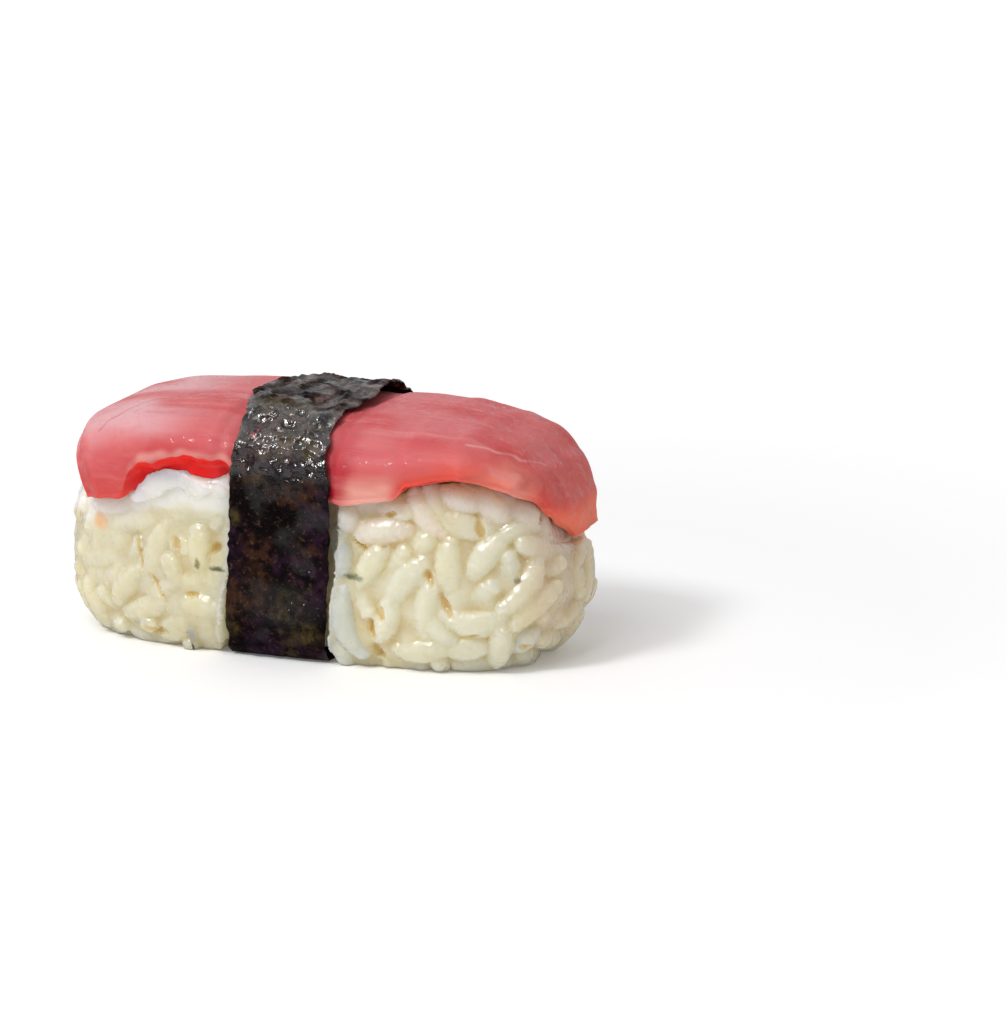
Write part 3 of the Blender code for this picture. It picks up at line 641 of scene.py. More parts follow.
def heal_folds(mesh):
    """Relaxes the few points of the rice where its skin has folded over itself."""
    points = get_points(mesh)
    side, inwards = side_wall(points)
    turned = (get_normals(mesh) * inwards).sum(axis=1) > FOLD_TURN
    folded = turned & (side < FOLD_DEPTH) & (points[:, 2] > FOLD_FOOT) & (top_wall(points)[0] > FOLD_TOP)
    shaped = bmesh.new()
    shaped.from_mesh(mesh)
    shaped.verts.ensure_lookup_table()
    chosen = {shaped.verts[i] for i in np.nonzero(folded)[0]}
    for _ in range(HEAL_RINGS):
        chosen |= {edge.other_vert(vert) for vert in chosen for edge in vert.link_edges}
    for _ in range(HEAL_ROUNDS):
        bmesh.ops.smooth_vert(
            shaped, verts=list(chosen), factor=0.5, use_axis_x=True, use_axis_y=True, use_axis_z=True
        )
    shaped.to_mesh(mesh)
    shaped.free()


def keep_largest(mesh):
    """Drops every part of a mesh that isn't joined to the largest one."""
    edges = np.empty(len(mesh.edges) * 2, np.int64)
    mesh.edges.foreach_get("vertices", edges)
    first, second = edges.reshape(-1, 2).T
    group = np.arange(len(mesh.vertices))
    while True:
        low = np.minimum(group[first], group[second])
        before = group.copy()
        np.minimum.at(group, first, low)
        np.minimum.at(group, second, low)
        group = group[group]
        if (group == before).all():
            break
    largest = np.bincount(group).argmax()
    shaped = bmesh.new()
    shaped.from_mesh(mesh)
    shaped.verts.ensure_lookup_table()
    scraps = [shaped.verts[i] for i in np.nonzero(group != largest)[0]]
    bmesh.ops.delete(shaped, geom=scraps, context="VERTS")
    shaped.to_mesh(mesh)
    shaped.free()


def mashed(x, y, z):
    """1 where the grains of the front are mashed together: the left part, and a patch at the right."""
    patch = np.hypot((x - MASH_X) / 1.3, z - MASH_Z)
    return np.maximum(smooth((-4.0 - x) / 5.0), 0.9 * smooth((MASH_RADIUS - patch) / 2.5) * (y < 0))


def core_ring(height):
    """One level ring of the bare core, kept under the tuna."""
    turn = 2 * math.pi * np.arange(CORE_SIDES) / CORE_SIDES
    cos, sin = np.cos(turn), np.sin(turn)
    reach = (np.abs(cos) ** 3 + np.abs(sin) ** 3) ** (-1 / 3)
    x = (rice_reach(cos, height) - CORE_INSET) * reach * cos
    y = (rice_half_width(x, sin, height) - CORE_INSET) * reach * sin
    z = np.minimum(height, under_height(x, y) - CORE_INSET)
    return np.stack([x, y, z], axis=1)


def core_shape():
    """The bare core: level rings up to the tuna, then smaller ones that close it along the slice."""
    rings = [core_ring(height) for height in np.linspace(*CORE_HEIGHTS)]
    highest = rings[-1]
    for share in CORE_TOP_SHARES:
        x, y, _ = highest.T * share
        rings.append(np.stack([x, y, under_height(x, y) - CORE_INSET], axis=1))
    return closed_tube(rings)


def chain_shape(chain, widths):
    """Points and faces of a closed tube along a chain of points."""
    axis = chain[-1] - chain[0]
    axis = axis / np.linalg.norm(axis)
    side = np.cross(axis, (0.0, 0.0, 1.0) if abs(axis[2]) < 0.9 else (1.0, 0.0, 0.0))
    side /= np.linalg.norm(side)
    other = np.cross(axis, side)
    turn = 2 * math.pi * np.arange(CHAIN_SIDES) / CHAIN_SIDES
    around = np.cos(turn)[:, None] * side + np.sin(turn)[:, None] * other
    rings = [centre + around * width for centre, width in zip(chain, widths)]
    tips = [chain[0] - axis * widths[0], chain[-1] + axis * widths[-1]]
    rings = [tips[0] * 0.5 + rings[0] * 0.5] + rings + [tips[1] * 0.5 + rings[-1] * 0.5]
    return closed_tube(rings, tips)


class RiceForm:
    """The form of the pressed block: grains and core that run together, flattened at the walls."""

    def __init__(self, grains, shown):
        draw = random.Random(SEED + 1)
        self.owners = shown
        bows = np.array([draw.uniform(-1.0, 1.0) * GRAIN_BOW for _ in shown])
        self.tones = np.array([draw.random() for _ in shown])
        for place, n in enumerate(shown):
            bows[place] = LEADING_BOWS.get(int(n), bows[place])
        self.chains, self.widths = self.bend(grains, shown, bows)
        for place, n in enumerate(shown):
            self.chains[place, :, 0] += LEADING_SHIFTS.get(int(n), 0.0)
        rise = [PROUD_LEVEL if n in PROUD_GRAINS else draw.uniform(*LEVELS) for n in shown]
        ridge = np.array(RIDGE)
        self.add_chain(ridge[:, :3], ridge[:, 3])
        for _ in range(SCRAP_TRIES):
            self.lay_scrap(draw)
        scraps = len(self.chains) - len(shown) - 1
        # After the whole grains come the ridge, the scraps and, for the core, a last plain value.
        self.rise = np.array(rise + [PROUD_LEVEL] + [draw.uniform(*LEVELS) for _ in range(scraps)] + [0.0])
        self.tones = np.append(self.tones, [0.9] + [draw.random() for _ in range(scraps)])
        margin = self.widths.max() + 1.2
        self.low = self.chains.min(axis=1) - margin
        self.high = self.chains.max(axis=1) + margin

    def add_chain(self, chain, widths):
        self.chains = np.concatenate([self.chains, chain[None]])
        self.widths = np.concatenate([self.widths, widths[None]])

    def lay_scrap(self, draw):
        """Lays a short broken grain against the side wall, unless its place is taken."""
        place = Grains.start(draw)[None]
        width, half = draw.uniform(*SCRAP_WIDTH) / 2, draw.uniform(*SCRAP_LENGTH) / 2
        turn, depth = draw.uniform(0, math.pi), draw.uniform(*SCRAP_DEPTH)
        bow = draw.uniform(-SCRAP_BOW, SCRAP_BOW)
        side, inwards = side_wall(place)
        centre = (place + inwards * (depth * width - side)[:, None])[0]
        apart = np.linalg.norm(self.chains - centre, axis=2) - self.widths
        outermost = side_wall(centre[None])[0][0] < 2.0 and top_wall(centre[None])[0][0] > width
        if not outermost or squeeze(*centre) >= 0.3 or apart.min() < SCRAP_ROOM or centre[2] < width:
            return
        level = np.cross((0.0, 0.0, 1.0), inwards[0])
        level /= np.linalg.norm(level)
        rise = np.cross(inwards[0], level)
        way = math.cos(turn) * level + math.sin(turn) * rise
        across = math.cos(turn) * rise - math.sin(turn) * level
        share = np.linspace(-1.0, 1.0, CHAIN_POINTS)
        chain = centre + (half * share)[:, None] * way + (bow * (2 / 3 - share**2))[:, None] * across
        self.add_chain(chain, width * (1.0 - SCRAP_NARROWING * np.abs(share) ** GRAIN_TAPER))

    @staticmethod
    def bend(grains, shown, bows):
        """The bowed middle line of each grain, and its half-width along it."""
        share = np.linspace(-1.0, 1.0, CHAIN_POINTS)
        beads, radius = grains.beads[shown], grains.radius[shown]
        centres = beads.mean(axis=1)
        way = beads[:, -1] - beads[:, 0]
        half = np.linalg.norm(way, axis=1) / 2 + radius * (1.0 - GRAIN_END_WIDTH)
        way /= np.linalg.norm(way, axis=1)[:, None]
        inwards = side_wall(centres)[1]
        left = np.cross(-inwards, way)
        left /= np.linalg.norm(left, axis=1)[:, None] + 1e-9
        bow = bows[:, None] * (2 / 3 - share**2)[None, :]
        steps = (half[:, None] * share[None, :])[:, :, None]
        chains = centres[:, None, :] + way[:, None, :] * steps + left[:, None, :] * bow[:, :, None]
        widths = radius[:, None] * (1.0 - (1.0 - GRAIN_END_WIDTH) * np.abs(share) ** GRAIN_TAPER)[None, :]
        return chains, widths

    def gather(self, points):
        """Notes which points lie near each grain."""
        self.near = []
        for low, high in zip(self.low, self.high):
            self.near.append(np.nonzero(((points > low) & (points < high)).all(axis=1))[0])

    def to_grain(self, n, points):
        """Distance of points to one grain, the direction away from it, and their share along it."""
        start, end = self.chains[n, :-1], self.chains[n, 1:]
        way = end - start
        rest = points[:, None, :] - start
        share = np.clip((rest * way).sum(-1) / (way * way).sum(-1), 0.0, 1.0)
        rest = rest - share[..., None] * way
        apart = np.sqrt((rest * rest).sum(-1)) + 1e-9
        width = self.widths[n, :-1] + share * (self.widths[n, 1:] - self.widths[n, :-1])
        distance = apart - width
        pick = np.arange(len(points)), distance.argmin(axis=1)
        return distance[pick], rest[pick] / apart[pick][:, None], pick[1] + share[pick]

    def measure(self, points):
        """Signed distance of each point to the form and the direction away from it."""
        side, inwards = side_wall(points, TIGHT_FADE)
        top, down = top_wall(points)
        x, y, z = points.T
        mash = mashed(x, y, z)
        inset = CORE_INSET + (MASHED_INSET - CORE_INSET) * mash + 0.2 * lumps(points, 3.0, 5)
        inset = inset + 0.25 * lumps(points, 1.6, 6)
        inset = inset - 0.8 * tear(x) * smooth((z - 13.0) / 3.0) * (y < 0)
        inset = inset - BESIDE_STRIP * squeeze(x, y, z) * (1.0 - squeeze(x, y, z, TIGHT_FADE))
        lift = RIDGE_RISE * tear(x) * (y < -10.5)
        core = np.maximum(inset - side, TOP_INSET - 0.6 * lift - top)
        weight = np.exp(np.minimum(-core / MELT, 40.0))
        pull = np.where((inset - side >= core)[:, None], -inwards, -down) * weight[:, None]
        self.nearest = core.copy()
        self.owner = np.full(len(points), -1)
        self.share = np.zeros(len(points))
        self.away = -inwards.copy()
        for n, near in enumerate(self.near):
            distance, away, share = self.to_grain(n, points[near])
            part = np.exp(np.minimum(-distance / MELT, 40.0))
            weight[near] += part
            pull[near] += away * part[:, None]
            closer = distance < self.nearest[near]
            spot = near[closer]
            self.nearest[spot] = distance[closer]
            self.owner[spot] = n
            self.share[spot] = share[closer]
            self.away[spot] = away[closer]
        body = -MELT * np.log(weight)
        body_way = pull / weight[:, None]
        press = PRESS + PRESS_MASHED * mash + PRESS_UNEVEN * lumps(points, 4.0, 8) - self.rise[self.owner]
        under_strip = smooth(2.0 * squeeze(x, y, z, TIGHT_FADE) - 1.0)
        press = press + (PRESS_UNDER_STRIP - press) * under_strip
        walls = [(body, body_way), (press - side, -inwards), (-CLOSE_UP - lift - top, -down)]
        walls.append((rice_floor(x, y) + 0.03 - z, np.broadcast_to([0.0, 0.0, -1.0], points.shape)))
        highest = np.max([wall[0] for wall in walls], axis=0)
        parts = [np.exp((wall[0] - highest) / WALL_MELT) for wall in walls]
        whole = sum(parts)
        away = sum(part[:, None] * wall[1] for part, wall in zip(parts, walls)) / whole[:, None]
        return highest + WALL_MELT * np.log(whole), away

    def draw_on(self, points, rounds):
        """Moves points onto the form."""
        for _ in range(rounds):
            distance, away = self.measure(points)
            steep = np.maximum((away * away).sum(axis=1), LEAST_STEEP)
            points = points - away * (np.clip(distance, -LONGEST_STEP, LONGEST_STEP) / steep)[:, None]
        return points


def rough_rice(form):
    """The core and the grains run together into one closed skin."""
    points, faces = core_shape()
    all_points, all_faces, count = [points], list(faces), len(points)
    for chain, widths in zip(form.chains, form.widths):
        points, faces = chain_shape(chain, widths)
        all_points.append(points)
        all_faces += [[i + count for i in face] for face in faces]
        count += len(points)
    rice = mesh_piece("rice_grains", np.vstack(all_points), all_faces)
    apply_modifier(rice, "REMESH", mode="VOXEL", voxel_size=VOXEL * MM)
    keep_largest(rice.data)
    return rice


def open_gaps(points):
    """How far each point sinks where a gap opens between the grains of the front, from 0 to 1."""
    sunk = np.zeros(len(points))
    for x, z, half, length, slant in GAPS:
        middle = on_front(np.array([x]), np.array([z]), 0.4)[0]
        away = points - middle
        inwards = side_wall(middle[None])[1][0]
        depth = away @ inwards
        level = np.cross((0.0, 0.0, 1.0), inwards)
        level /= np.linalg.norm(level)
        turn = math.radians(slant)
        run = away @ level
        long_way = run * math.cos(turn) + away[:, 2] * math.sin(turn)
        short_way = away[:, 2] * math.cos(turn) - run * math.sin(turn)
        flat = np.sqrt((long_way / length) ** 2 + (short_way / half) ** 2)
        flat = flat + 0.45 * lumps(points, 0.8, 21)
        sunk = np.maximum(sunk, smooth(1.5 - flat) * (np.abs(depth) < GAP_REACH))
    return sunk


def make_rice():
    grains = Grains(GRAIN_COUNT, SEED)
    grains.settle()
    form = RiceForm(grains, grains.showing())
    rice = rough_rice(form)
    mesh = rice.data
    points = get_points(mesh)
    form.gather(points)
    set_points(mesh, form.draw_on(points, 4))
    faces = len(mesh.polygons) * 2
    if faces > RICE_FACES:
        apply_modifier(rice, "DECIMATE", ratio=RICE_FACES / faces)
    mesh = rice.data
    points = get_points(mesh)
    form.gather(points)
    set_points(mesh, form.draw_on(points, 2))
    heal_folds(mesh)
    finish_rice(rice, form, get_points(mesh))
    heal_folds(mesh)
    return rice


def finish_rice(rice, form, points):
    """Fine relief and the colour values of the rice."""
    mesh = rice.data
    form.measure(points)
    owner = form.owner
    side, inwards = side_wall(points, TIGHT_FADE)
    top = top_wall(points)[0]
    x, y, z = points.T
    sunk = open_gaps(points)
    # Streaks run along each grain: noise that is long in the grain's own direction.
    along_grain = np.stack([form.share * 0.5, form.away[:, 0] * 1.6 + owner, form.away[:, 2] * 1.6], axis=1)
    relief = 0.05 * lumps(along_grain, 1.0, 3)
    relief = relief + 0.04 * lumps(points, 0.9, 12) + 0.02 * lumps(points, 0.45, 13)
    ridge = owner == len(form.owners)
    relief = relief + ridge * (0.2 * lumps(points, 1.4, 16) + 0.1 * lumps(points, 0.6, 17))
    clear_of_table = z > 0.2
    moved = points + get_normals(mesh) * (relief * clear_of_table)[:, None]
    points = moved + inwards * (sunk * GAP_DEPTH)[:, None]
    set_points(mesh, points)
    tone = np.where(owner < 0, CORE_TONE, form.tones[owner])
    whole = np.append(form.owners, np.full(len(form.tones) - len(form.owners), -1))[owner]
    white, glassy = (np.isin(whole, kind) & (owner >= 0) for kind in (WHITE_GRAINS, GLASSY_GRAINS))
    left_part = smooth((-5.0 - x) / 3.0) * (y < 0)
    tint = Tint(len(points), IVORY)
    tint.lay(PALE_IVORY, tone)
    tint.lay(GREY_IVORY, left_part)
    tint.lay(YELLOW_IVORY, 0.5 * smooth(0.3 + 1.4 * lumps(points, 5.0, 18)))
    # Painted reflection: pink light from the tuna on the rice just under it and on the glassy grains.
    near_tuna = smooth((3.0 - top) / 3.0 + 0.25 * lumps(points, 2.5, 14)) * smooth((x + 4.0) / 3.0)
    tint.lay(PAINTED_TUNA_REFLECTION, 0.8 * np.maximum(near_tuna, 0.7 * glassy))
    tint.lay(WHITE_RICE, smooth((-6.0 - x) / 2.0) * smooth((3.4 - top) / 1.8))
    tint.lay(PEARL_RICE, 0.9 * white)
    tint.lay(WHITE_RICE, 0.8 * tear(x) * smooth((z - 14.6) / 1.6 + 0.4 * lumps(points, 1.2, 19)) * (y < 0))
    # Painted shade: warm brown where the rice lies deeper behind its wall, in the creases between grains and
    # in the open gaps.
    crease = 0.45 * smooth((side - 0.3) / 0.6) * smooth((top - 1.0) / 2.0) * (1.0 - squeeze(x, y, z))
    tint.lay(PAINTED_CREVICE_SHADE, np.maximum(crease, 0.95 * sunk))
    # Painted shade: a darker amber on the right end of the rice, which faces away from the light.
    tint.lay(SHADED_END_RICE, 0.8 * smooth((x - 22.5) / 4.0) * smooth((y + 12.5) / 5.0))
    for colour, fleck_x, fleck_z, half, tall in FLECKS:
        away = np.hypot((x - fleck_x) / half, (z - fleck_z) / tall) + 0.5 * lumps(points, 0.4, 20)
        tint.lay(colour, 0.9 * smooth(2.0 - 1.2 * away) * (y < 0))
    stain = np.hypot(x - STAIN_X, z - STAIN_Z) + 0.3 * lumps(points, 0.8, 15)
    tint.lay(STAIN_ORANGE, 0.75 * smooth((STAIN_RADIUS - stain) / 0.9) * (y < 0))
    tint.keep(mesh)


def tear(x):
    """1 along the torn flap, falling to 0 at its ends."""
    return smooth((x - TEAR_START) / TEAR_FADE) * smooth((TEAR_END + TEAR_FADE - x) / TEAR_FADE)


def tuna_section(x):
    """The slice's outline at a station, as (y, height over the spine), all the way round."""
    pressed = float(squeeze(x, 0.0, NORI_LEAN_HEIGHT))
    front_y = float(along(FRONT_EDGE, x)) + TUNA_SQUEEZE * pressed
    back_y = float(along(BACK_EDGE, x)) - TUNA_SQUEEZE * pressed
    thick = float(along(TUNA_THICKNESS, x)) - TUNA_SQUEEZE * pressed
    middle, half = (front_y + back_y) / 2, (back_y - front_y) / 2
    torn = float(tear(x))
    spot = np.array([[x, 0.0, 0.0]])
    ragged = float(0.35 * lumps(spot, 1.7, 31)[0] + 0.2 * lumps(spot, 0.7, 32)[0])
    lip = PLAIN_LIP + (TEAR_HEIGHT + ragged - PLAIN_LIP) * torn
    inner = front_y + TEAR_DEPTH * torn
    share = np.linspace(1.0, -1.0, UNDER_POINTS)
    y = middle + half * share
    under = np.stack([np.maximum(y, inner), edge_hang(x, y)], axis=1)
    front, back = under[-1, 1], under[0, 1]
    # The hollow climbs to a ceiling just behind the lip, and the lip hangs over it.
    climb = np.linspace(0.0, 1.0, HOLLOW_POINTS + 2)[1:-1]
    hollow_y = inner + (front_y + 0.1 - inner) * smooth((climb - 0.35) / 0.65)
    hollow_z = front + lip * (climb + 0.1 * torn * np.sin(math.pi * climb))
    hollow = np.stack([hollow_y, hollow_z], axis=1)
    edge = np.array([[front_y + 0.08, front + lip]])
    turn = math.pi * np.arange(1, OVER_POINTS) / OVER_POINTS
    base = front + lip + (back - front - lip) * turn / math.pi
    over_y = middle - half * np.sign(np.cos(turn)) * np.abs(np.cos(turn)) ** (2 / SHOULDER_POWER)
    top = thick + float(along(TUNA_TILT, x)) * over_y
    over_z = base + (top - base) * np.sin(turn) ** (2 / SHOULDER_POWER)
    return np.vstack([under, hollow, edge, np.stack([over_y, over_z], axis=1)])


def spine_stations(count):
    """Places along the spine, closer together at its ends, each with its direction."""
    steps = np.linalg.norm(np.diff(SPINE, axis=0), axis=1)
    run = np.concatenate([[0.0], np.cumsum(steps)])
    share = np.linspace(0.0, 1.0, count)
    at = (0.75 * share + 0.25 * smooth(share)) * run[-1]

    def place(at):
        return np.stack([np.interp(at, run, SPINE[:, k]) for k in (0, 1)], axis=1)

    way = place(at + 0.2) - place(at - 0.2)
    return place(at), way / np.linalg.norm(way, axis=1)[:, None]


def end_rings(ring, outwards, bulge):
    """Rings that close one end of the slice with a low dome."""
    centre = ring.mean(axis=0)
    outwards = np.array(outwards)
    found = []
    for k in range(1, CAP_RINGS + 1):
        turn = 0.5 * math.pi * k / (CAP_RINGS + 0.6)
        found.append(centre + (ring - centre) * math.cos(turn) + outwards * bulge * math.sin(turn))
    return found


def make_tuna():
    rings = []
    for (x, z), (way_x, way_z) in zip(*spine_stations(TUNA_STATIONS)):
        section = tuna_section(x)
        y, n = section.T
        rings.append(np.stack([x - way_z * n, y, z + way_x * n], axis=1))
    first = end_rings(rings[0], LEFT_END_WAY, LEFT_BULGE)
    last = end_rings(rings[-1], RIGHT_END_WAY, RIGHT_BULGE)
    rings = first[::-1] + rings + last
    points, faces = closed_tube(rings)
    tuna = mesh_piece("tuna_slice", points, faces)
    around = np.concatenate([np.tile(np.arange(len(rings[0])), len(rings)), [0, 0]])
    finish_tuna(tuna, around)
    return tuna


def finish_tuna(tuna, around):
    """Fine relief and the colour values of the tuna, where around is each point's place in its ring."""
    mesh = tuna.data
    points = get_points(mesh)
    normals = get_normals(mesh)
    x, y, z = points.T
    in_hollow = (around >= UNDER_POINTS - 2) & (around < UNDER_POINTS + HOLLOW_POINTS)
    at_lip = np.exp(-(((around - (UNDER_POINTS + HOLLOW_POINTS + 0.5)) / 1.8) ** 2))
    at_lip = at_lip * smooth(0.8 + lumps(points, 1.1, 48))
    torn = tear(x)
    free = 1.0 - squeeze(x, y, z)
    fibres = lumps(points, (16.0, 1.1, 1.1), 41) + 0.5 * lumps(points, (9.0, 0.55, 0.55), 42)
    relief = 0.16 * lumps(points, 7.0, 43) + 0.07 * lumps(points, 2.6, 44) + 0.035 * fibres
    relief = relief + 0.06 * lumps(points, (1.2, 0.8, 0.8), 45) * smooth((x - 10.0) / 6.0)
    relief = relief + 0.12 * lumps(points, 0.8, 46) * torn * np.maximum(in_hollow, at_lip)
    rim = np.exp(-(((around - UNDER_POINTS) / 5.0) ** 2))
    relief = relief + 0.12 * lumps(points, 1.3, 47) * rim
    set_points(mesh, points + normals * (relief * (0.3 + 0.7 * free))[:, None])
    under = np.exp(-(((around - UNDER_POINTS + 1) / 4.0) ** 2)) * (y < 0)
    upward = np.clip(normals[:, 2], 0.0, 1.0)
    height = z - under_height(x, np.full_like(x, -12.0))
    front = smooth((-6.0 - y) / 4.0)
    # Noise that makes the edges of the red rim and of the painted shade beside the strip uneven.
    wet = 0.4 * lumps(points, 1.3, 50)
    tint = Tint(len(points), FLESH)
    # Painted sheen: faces that point up are paler, as if lit from above.
    tint.lay(PAINTED_SHEEN_FLESH, 0.6 * upward)
    # Painted sheen: the upper faces of the left part are paler still.
    tint.lay(PAINTED_LEFT_SHEEN, smooth((-9.0 - x) / 8.0) * smooth((upward - 0.3) / 0.6))
    tint.lay(DEEP_FLESH, 0.8 * smooth(0.3 + 1.3 * lumps(points, (7.0, 3.5, 3.5), 49)))
    tint.lay(PALE_FLESH, 0.35 * smooth(0.1 + 1.5 * lumps(points, (3.2, 1.8, 1.8), 51)))
    tint.lay(LOW_FLESH, 0.8 * front * smooth((3.4 - height) / 3.0))
    # The right end's orange-red, brightened as painted light where it faces away from the lamps.
    tint.lay(PAINTED_LIGHT_END_FLESH, 0.8 * smooth((x - 14.0) / 8.0) * (1.0 - upward))
    tint.lay(PAINTED_LIGHT_TIP_FLESH, smooth((x - 20.5) / 3.5) * smooth((17.5 - z) / 4.0))
    tint.lay(FILM_FLESH, front * smooth((3.0 - height) / 2.4) * along(PALE_RIM, x))
    tint.lay(EDGE_FLESH, 0.75 * front * smooth((1.5 - height) / 0.9 + wet) * along(RED_EDGE, x))
    right = x - strip_x(NORI_RIGHT, y, z)
    left = strip_x(NORI_LEFT, y, z) - x
    # Painted shade: the flesh beside the nori strip is darker red, less so on top.
    tint.lay(STRIP_SHADE_FLESH, 0.95 * smooth(1.25 - right / 2.5 + wet) * (right > -2.0) * (1.0 - 0.7 * upward))
    tint.lay(STRIP_SHADE_FLESH, 0.5 * smooth(1.0 - left / 1.1 + wet) * (left > -2.0) * (1.0 - 0.6 * upward))
    tint.lay(SEAM, 0.5 * smooth(1.2 - near_line(SEAM_LINE, x, y) / 0.25) * (upward > 0.2))
    tint.lay(SINEW, 0.7 * smooth(1.2 - near_line(SINEW_LINE, x, y) / 0.25) * (upward > 0.1))
    above_lip = height - PLAIN_LIP - (TEAR_HEIGHT - PLAIN_LIP) * torn
    at_rim = smooth(1.0 - np.abs(above_lip - 0.1) / 0.7 + 0.4 * lumps(points, 1.1, 48))
    tint.lay(LIP_FLESH, 0.8 * torn * at_rim * front)
    tint.lay(CUT_FLESH, np.maximum(torn * in_hollow, under * along(RED_UNDER, x)))
    tint.keep(mesh)


def near_line(line, x, y):
    """Distance from a line given as (x, y), in millimetres, growing fast past its ends."""
    beyond = np.maximum(line[0][0] - x, x - line[-1][0])
    return np.abs(y - along(line, x)) + 4.0 * np.maximum(beyond, 0.0)


def wrapped_outline(base):
    """The taut line of the strip round the tuna and the rice, as a closed run of (x, y, z)."""
    tuna_x = float(strip_x(base, 0.0, NORI_LEAN_HEIGHT))
    section = tuna_section(tuna_x)
    held = [(y, float(spine_height(tuna_x)) + n) for y, n in section]
    for z in np.linspace(NORI_THICKNESS + GAP, HELD_HEIGHT, HELD_POINTS):
        for side in (-1.0, 1.0):
            half = rice_half_width(strip_x(base, side * RICE_HALF_WIDTH, z), side, z)
            held.append((side * float(half), z))
    held = np.array(held)
    turns = np.linspace(0, 2 * math.pi, WRAP_DIRECTIONS, endpoint=False) - math.pi / 2
    outwards = np.stack([np.cos(turns), np.sin(turns)], axis=1)
    loop = held[np.argmax(outwards @ held.T, axis=1)] + GAP * outwards
    return np.column_stack([strip_x(base, *loop.T), loop])


def strip_path(base):
    """One long line of the strip: its places and outward directions, one end lapped on the other."""
    loop = wrapped_outline(base)
    closed = np.vstack([loop, loop[:1]])
    steps = np.linalg.norm(np.diff(closed[:, 1:], axis=0), axis=1)
    run = np.concatenate([[0.0], np.cumsum(steps)])
    whole = run[-1]
    raised = loop[:, 2] > NORI_THICKNESS + 0.01
    lowest = np.argmin(np.abs(loop[:, 1] - LAP_CENTRE_Y) + 1000 * raised)
    start = run[lowest] + LAP_CENTRE_Y - loop[lowest, 1]
    at = np.linspace(-NORI_LAP / 2, whole + NORI_LAP / 2, NORI_ROWS)

    def places(shift):
        there = (start + at + shift) % whole
        return np.stack([np.interp(there, run, closed[:, k]) for k in range(3)], axis=1)

    way = (places(0.3) - places(-0.3))[:, 1:]
    way /= np.linalg.norm(way, axis=1)[:, None]
    outwards = np.stack([np.zeros(NORI_ROWS), way[:, 1], -way[:, 0]], axis=1)
    lift = LAP_RISE * smooth((at - (whole - NORI_LAP / 2 - LAP_RAMP)) / LAP_RAMP)
    return places(0.0) - outwards * lift[:, None], outwards


def crinkles(points, raised):
    """Outward relief of the sheet, in millimetres: creases that meet, finer pimples between them."""
    calm, folded = 0.0, 0.0
    for size, low, high, seed in CREASES:
        crease = 1.0 - 2.0 * np.abs(lumps(points, size, seed))
        calm, folded = calm + low * crease, folded + high * crease
    grain = lumps(points, CREASE_GRAIN, 54)
    calm, folded = calm + CALM_GRAIN * grain, folded + FOLDED_GRAIN * grain
    swell = lumps(points, 6.0, 55)
    fine = 1.0 - 2.0 * np.abs(lumps(points, (0.5, 0.7, 0.7), 56))
    bend = smooth((points[:, 2] - 18.0) / 2.5) * smooth((-6.0 - points[:, 1]) / 3.0)
    return calm + (folded - calm) * raised + 0.06 * swell + (0.04 + 0.1 * bend) * fine


def make_nori():
    """A thin crinkled sheet: its outer face, its inner face, and the four edges between them."""
    outer, inner = [], []
    for share in np.linspace(0.0, 1.0, NORI_COLUMNS):
        edge = abs(2.0 * share - 1.0)
        place, outwards = strip_path(NORI_LEFT + (NORI_RIGHT - NORI_LEFT) * float(share))
        # The two edges are ragged each in its own way.
        apart = place + math.copysign(40.0, share - 0.5)
        ragged = 0.16 * lumps(apart, 1.3, 61) + 0.1 * lumps(apart, 0.5, 62)
        place[:, 0] += (ragged * edge**6 * 1.4).clip(-0.4, 0.3)
        raised = smooth((place[:, 2] - 19.5) / 3.0)
        left_shift, right_shift = along(TOP_LEFT_SHIFT, place[:, 1]), along(TOP_RIGHT_SHIFT, place[:, 1])
        place[:, 0] += ((1.0 - share) * left_shift + share * right_shift) * raised
        relief = RELIEF_BASE + crinkles(place, raised) * (1.0 - 0.5 * edge**8)
        relief += EDGE_LIFT * smooth((share - 0.7) / 0.3) * raised * smooth((place[:, 1] + 4.0) / 6.0)
        relief = np.clip(relief, *RELIEF_LIMITS)
        off_table = smooth((place[:, 2] - 0.1) / 1.2)
        relief = relief * off_table + RELIEF_AT_TABLE * (1.0 - off_table)
        outer.append(place + outwards * relief[:, None])
        inner.append(place + outwards * (relief - SHEET_THICKNESS)[:, None])
    outer, inner = np.array(outer), np.array(inner)
    count = NORI_COLUMNS * NORI_ROWS
    points = np.vstack([outer.reshape(-1, 3), inner.reshape(-1, 3)])
    faces = grid_faces(NORI_COLUMNS, NORI_ROWS)
    faces += [[i + count for i in reversed(face)] for face in faces]
    for c in range(NORI_COLUMNS - 1):
        for r in (0, NORI_ROWS - 1):
            i, j = c * NORI_ROWS + r, (c + 1) * NORI_ROWS + r
            faces.append([i, j, j + count, i + count])
    for c in (0, NORI_COLUMNS - 1):
        for r in range(NORI_ROWS - 1):
            i = c * NORI_ROWS + r
            faces.append([i, i + 1, i + 1 + count, i + count])
    nori = mesh_piece("nori_sheet", points, faces)
    finish_nori(nori)
    return nori


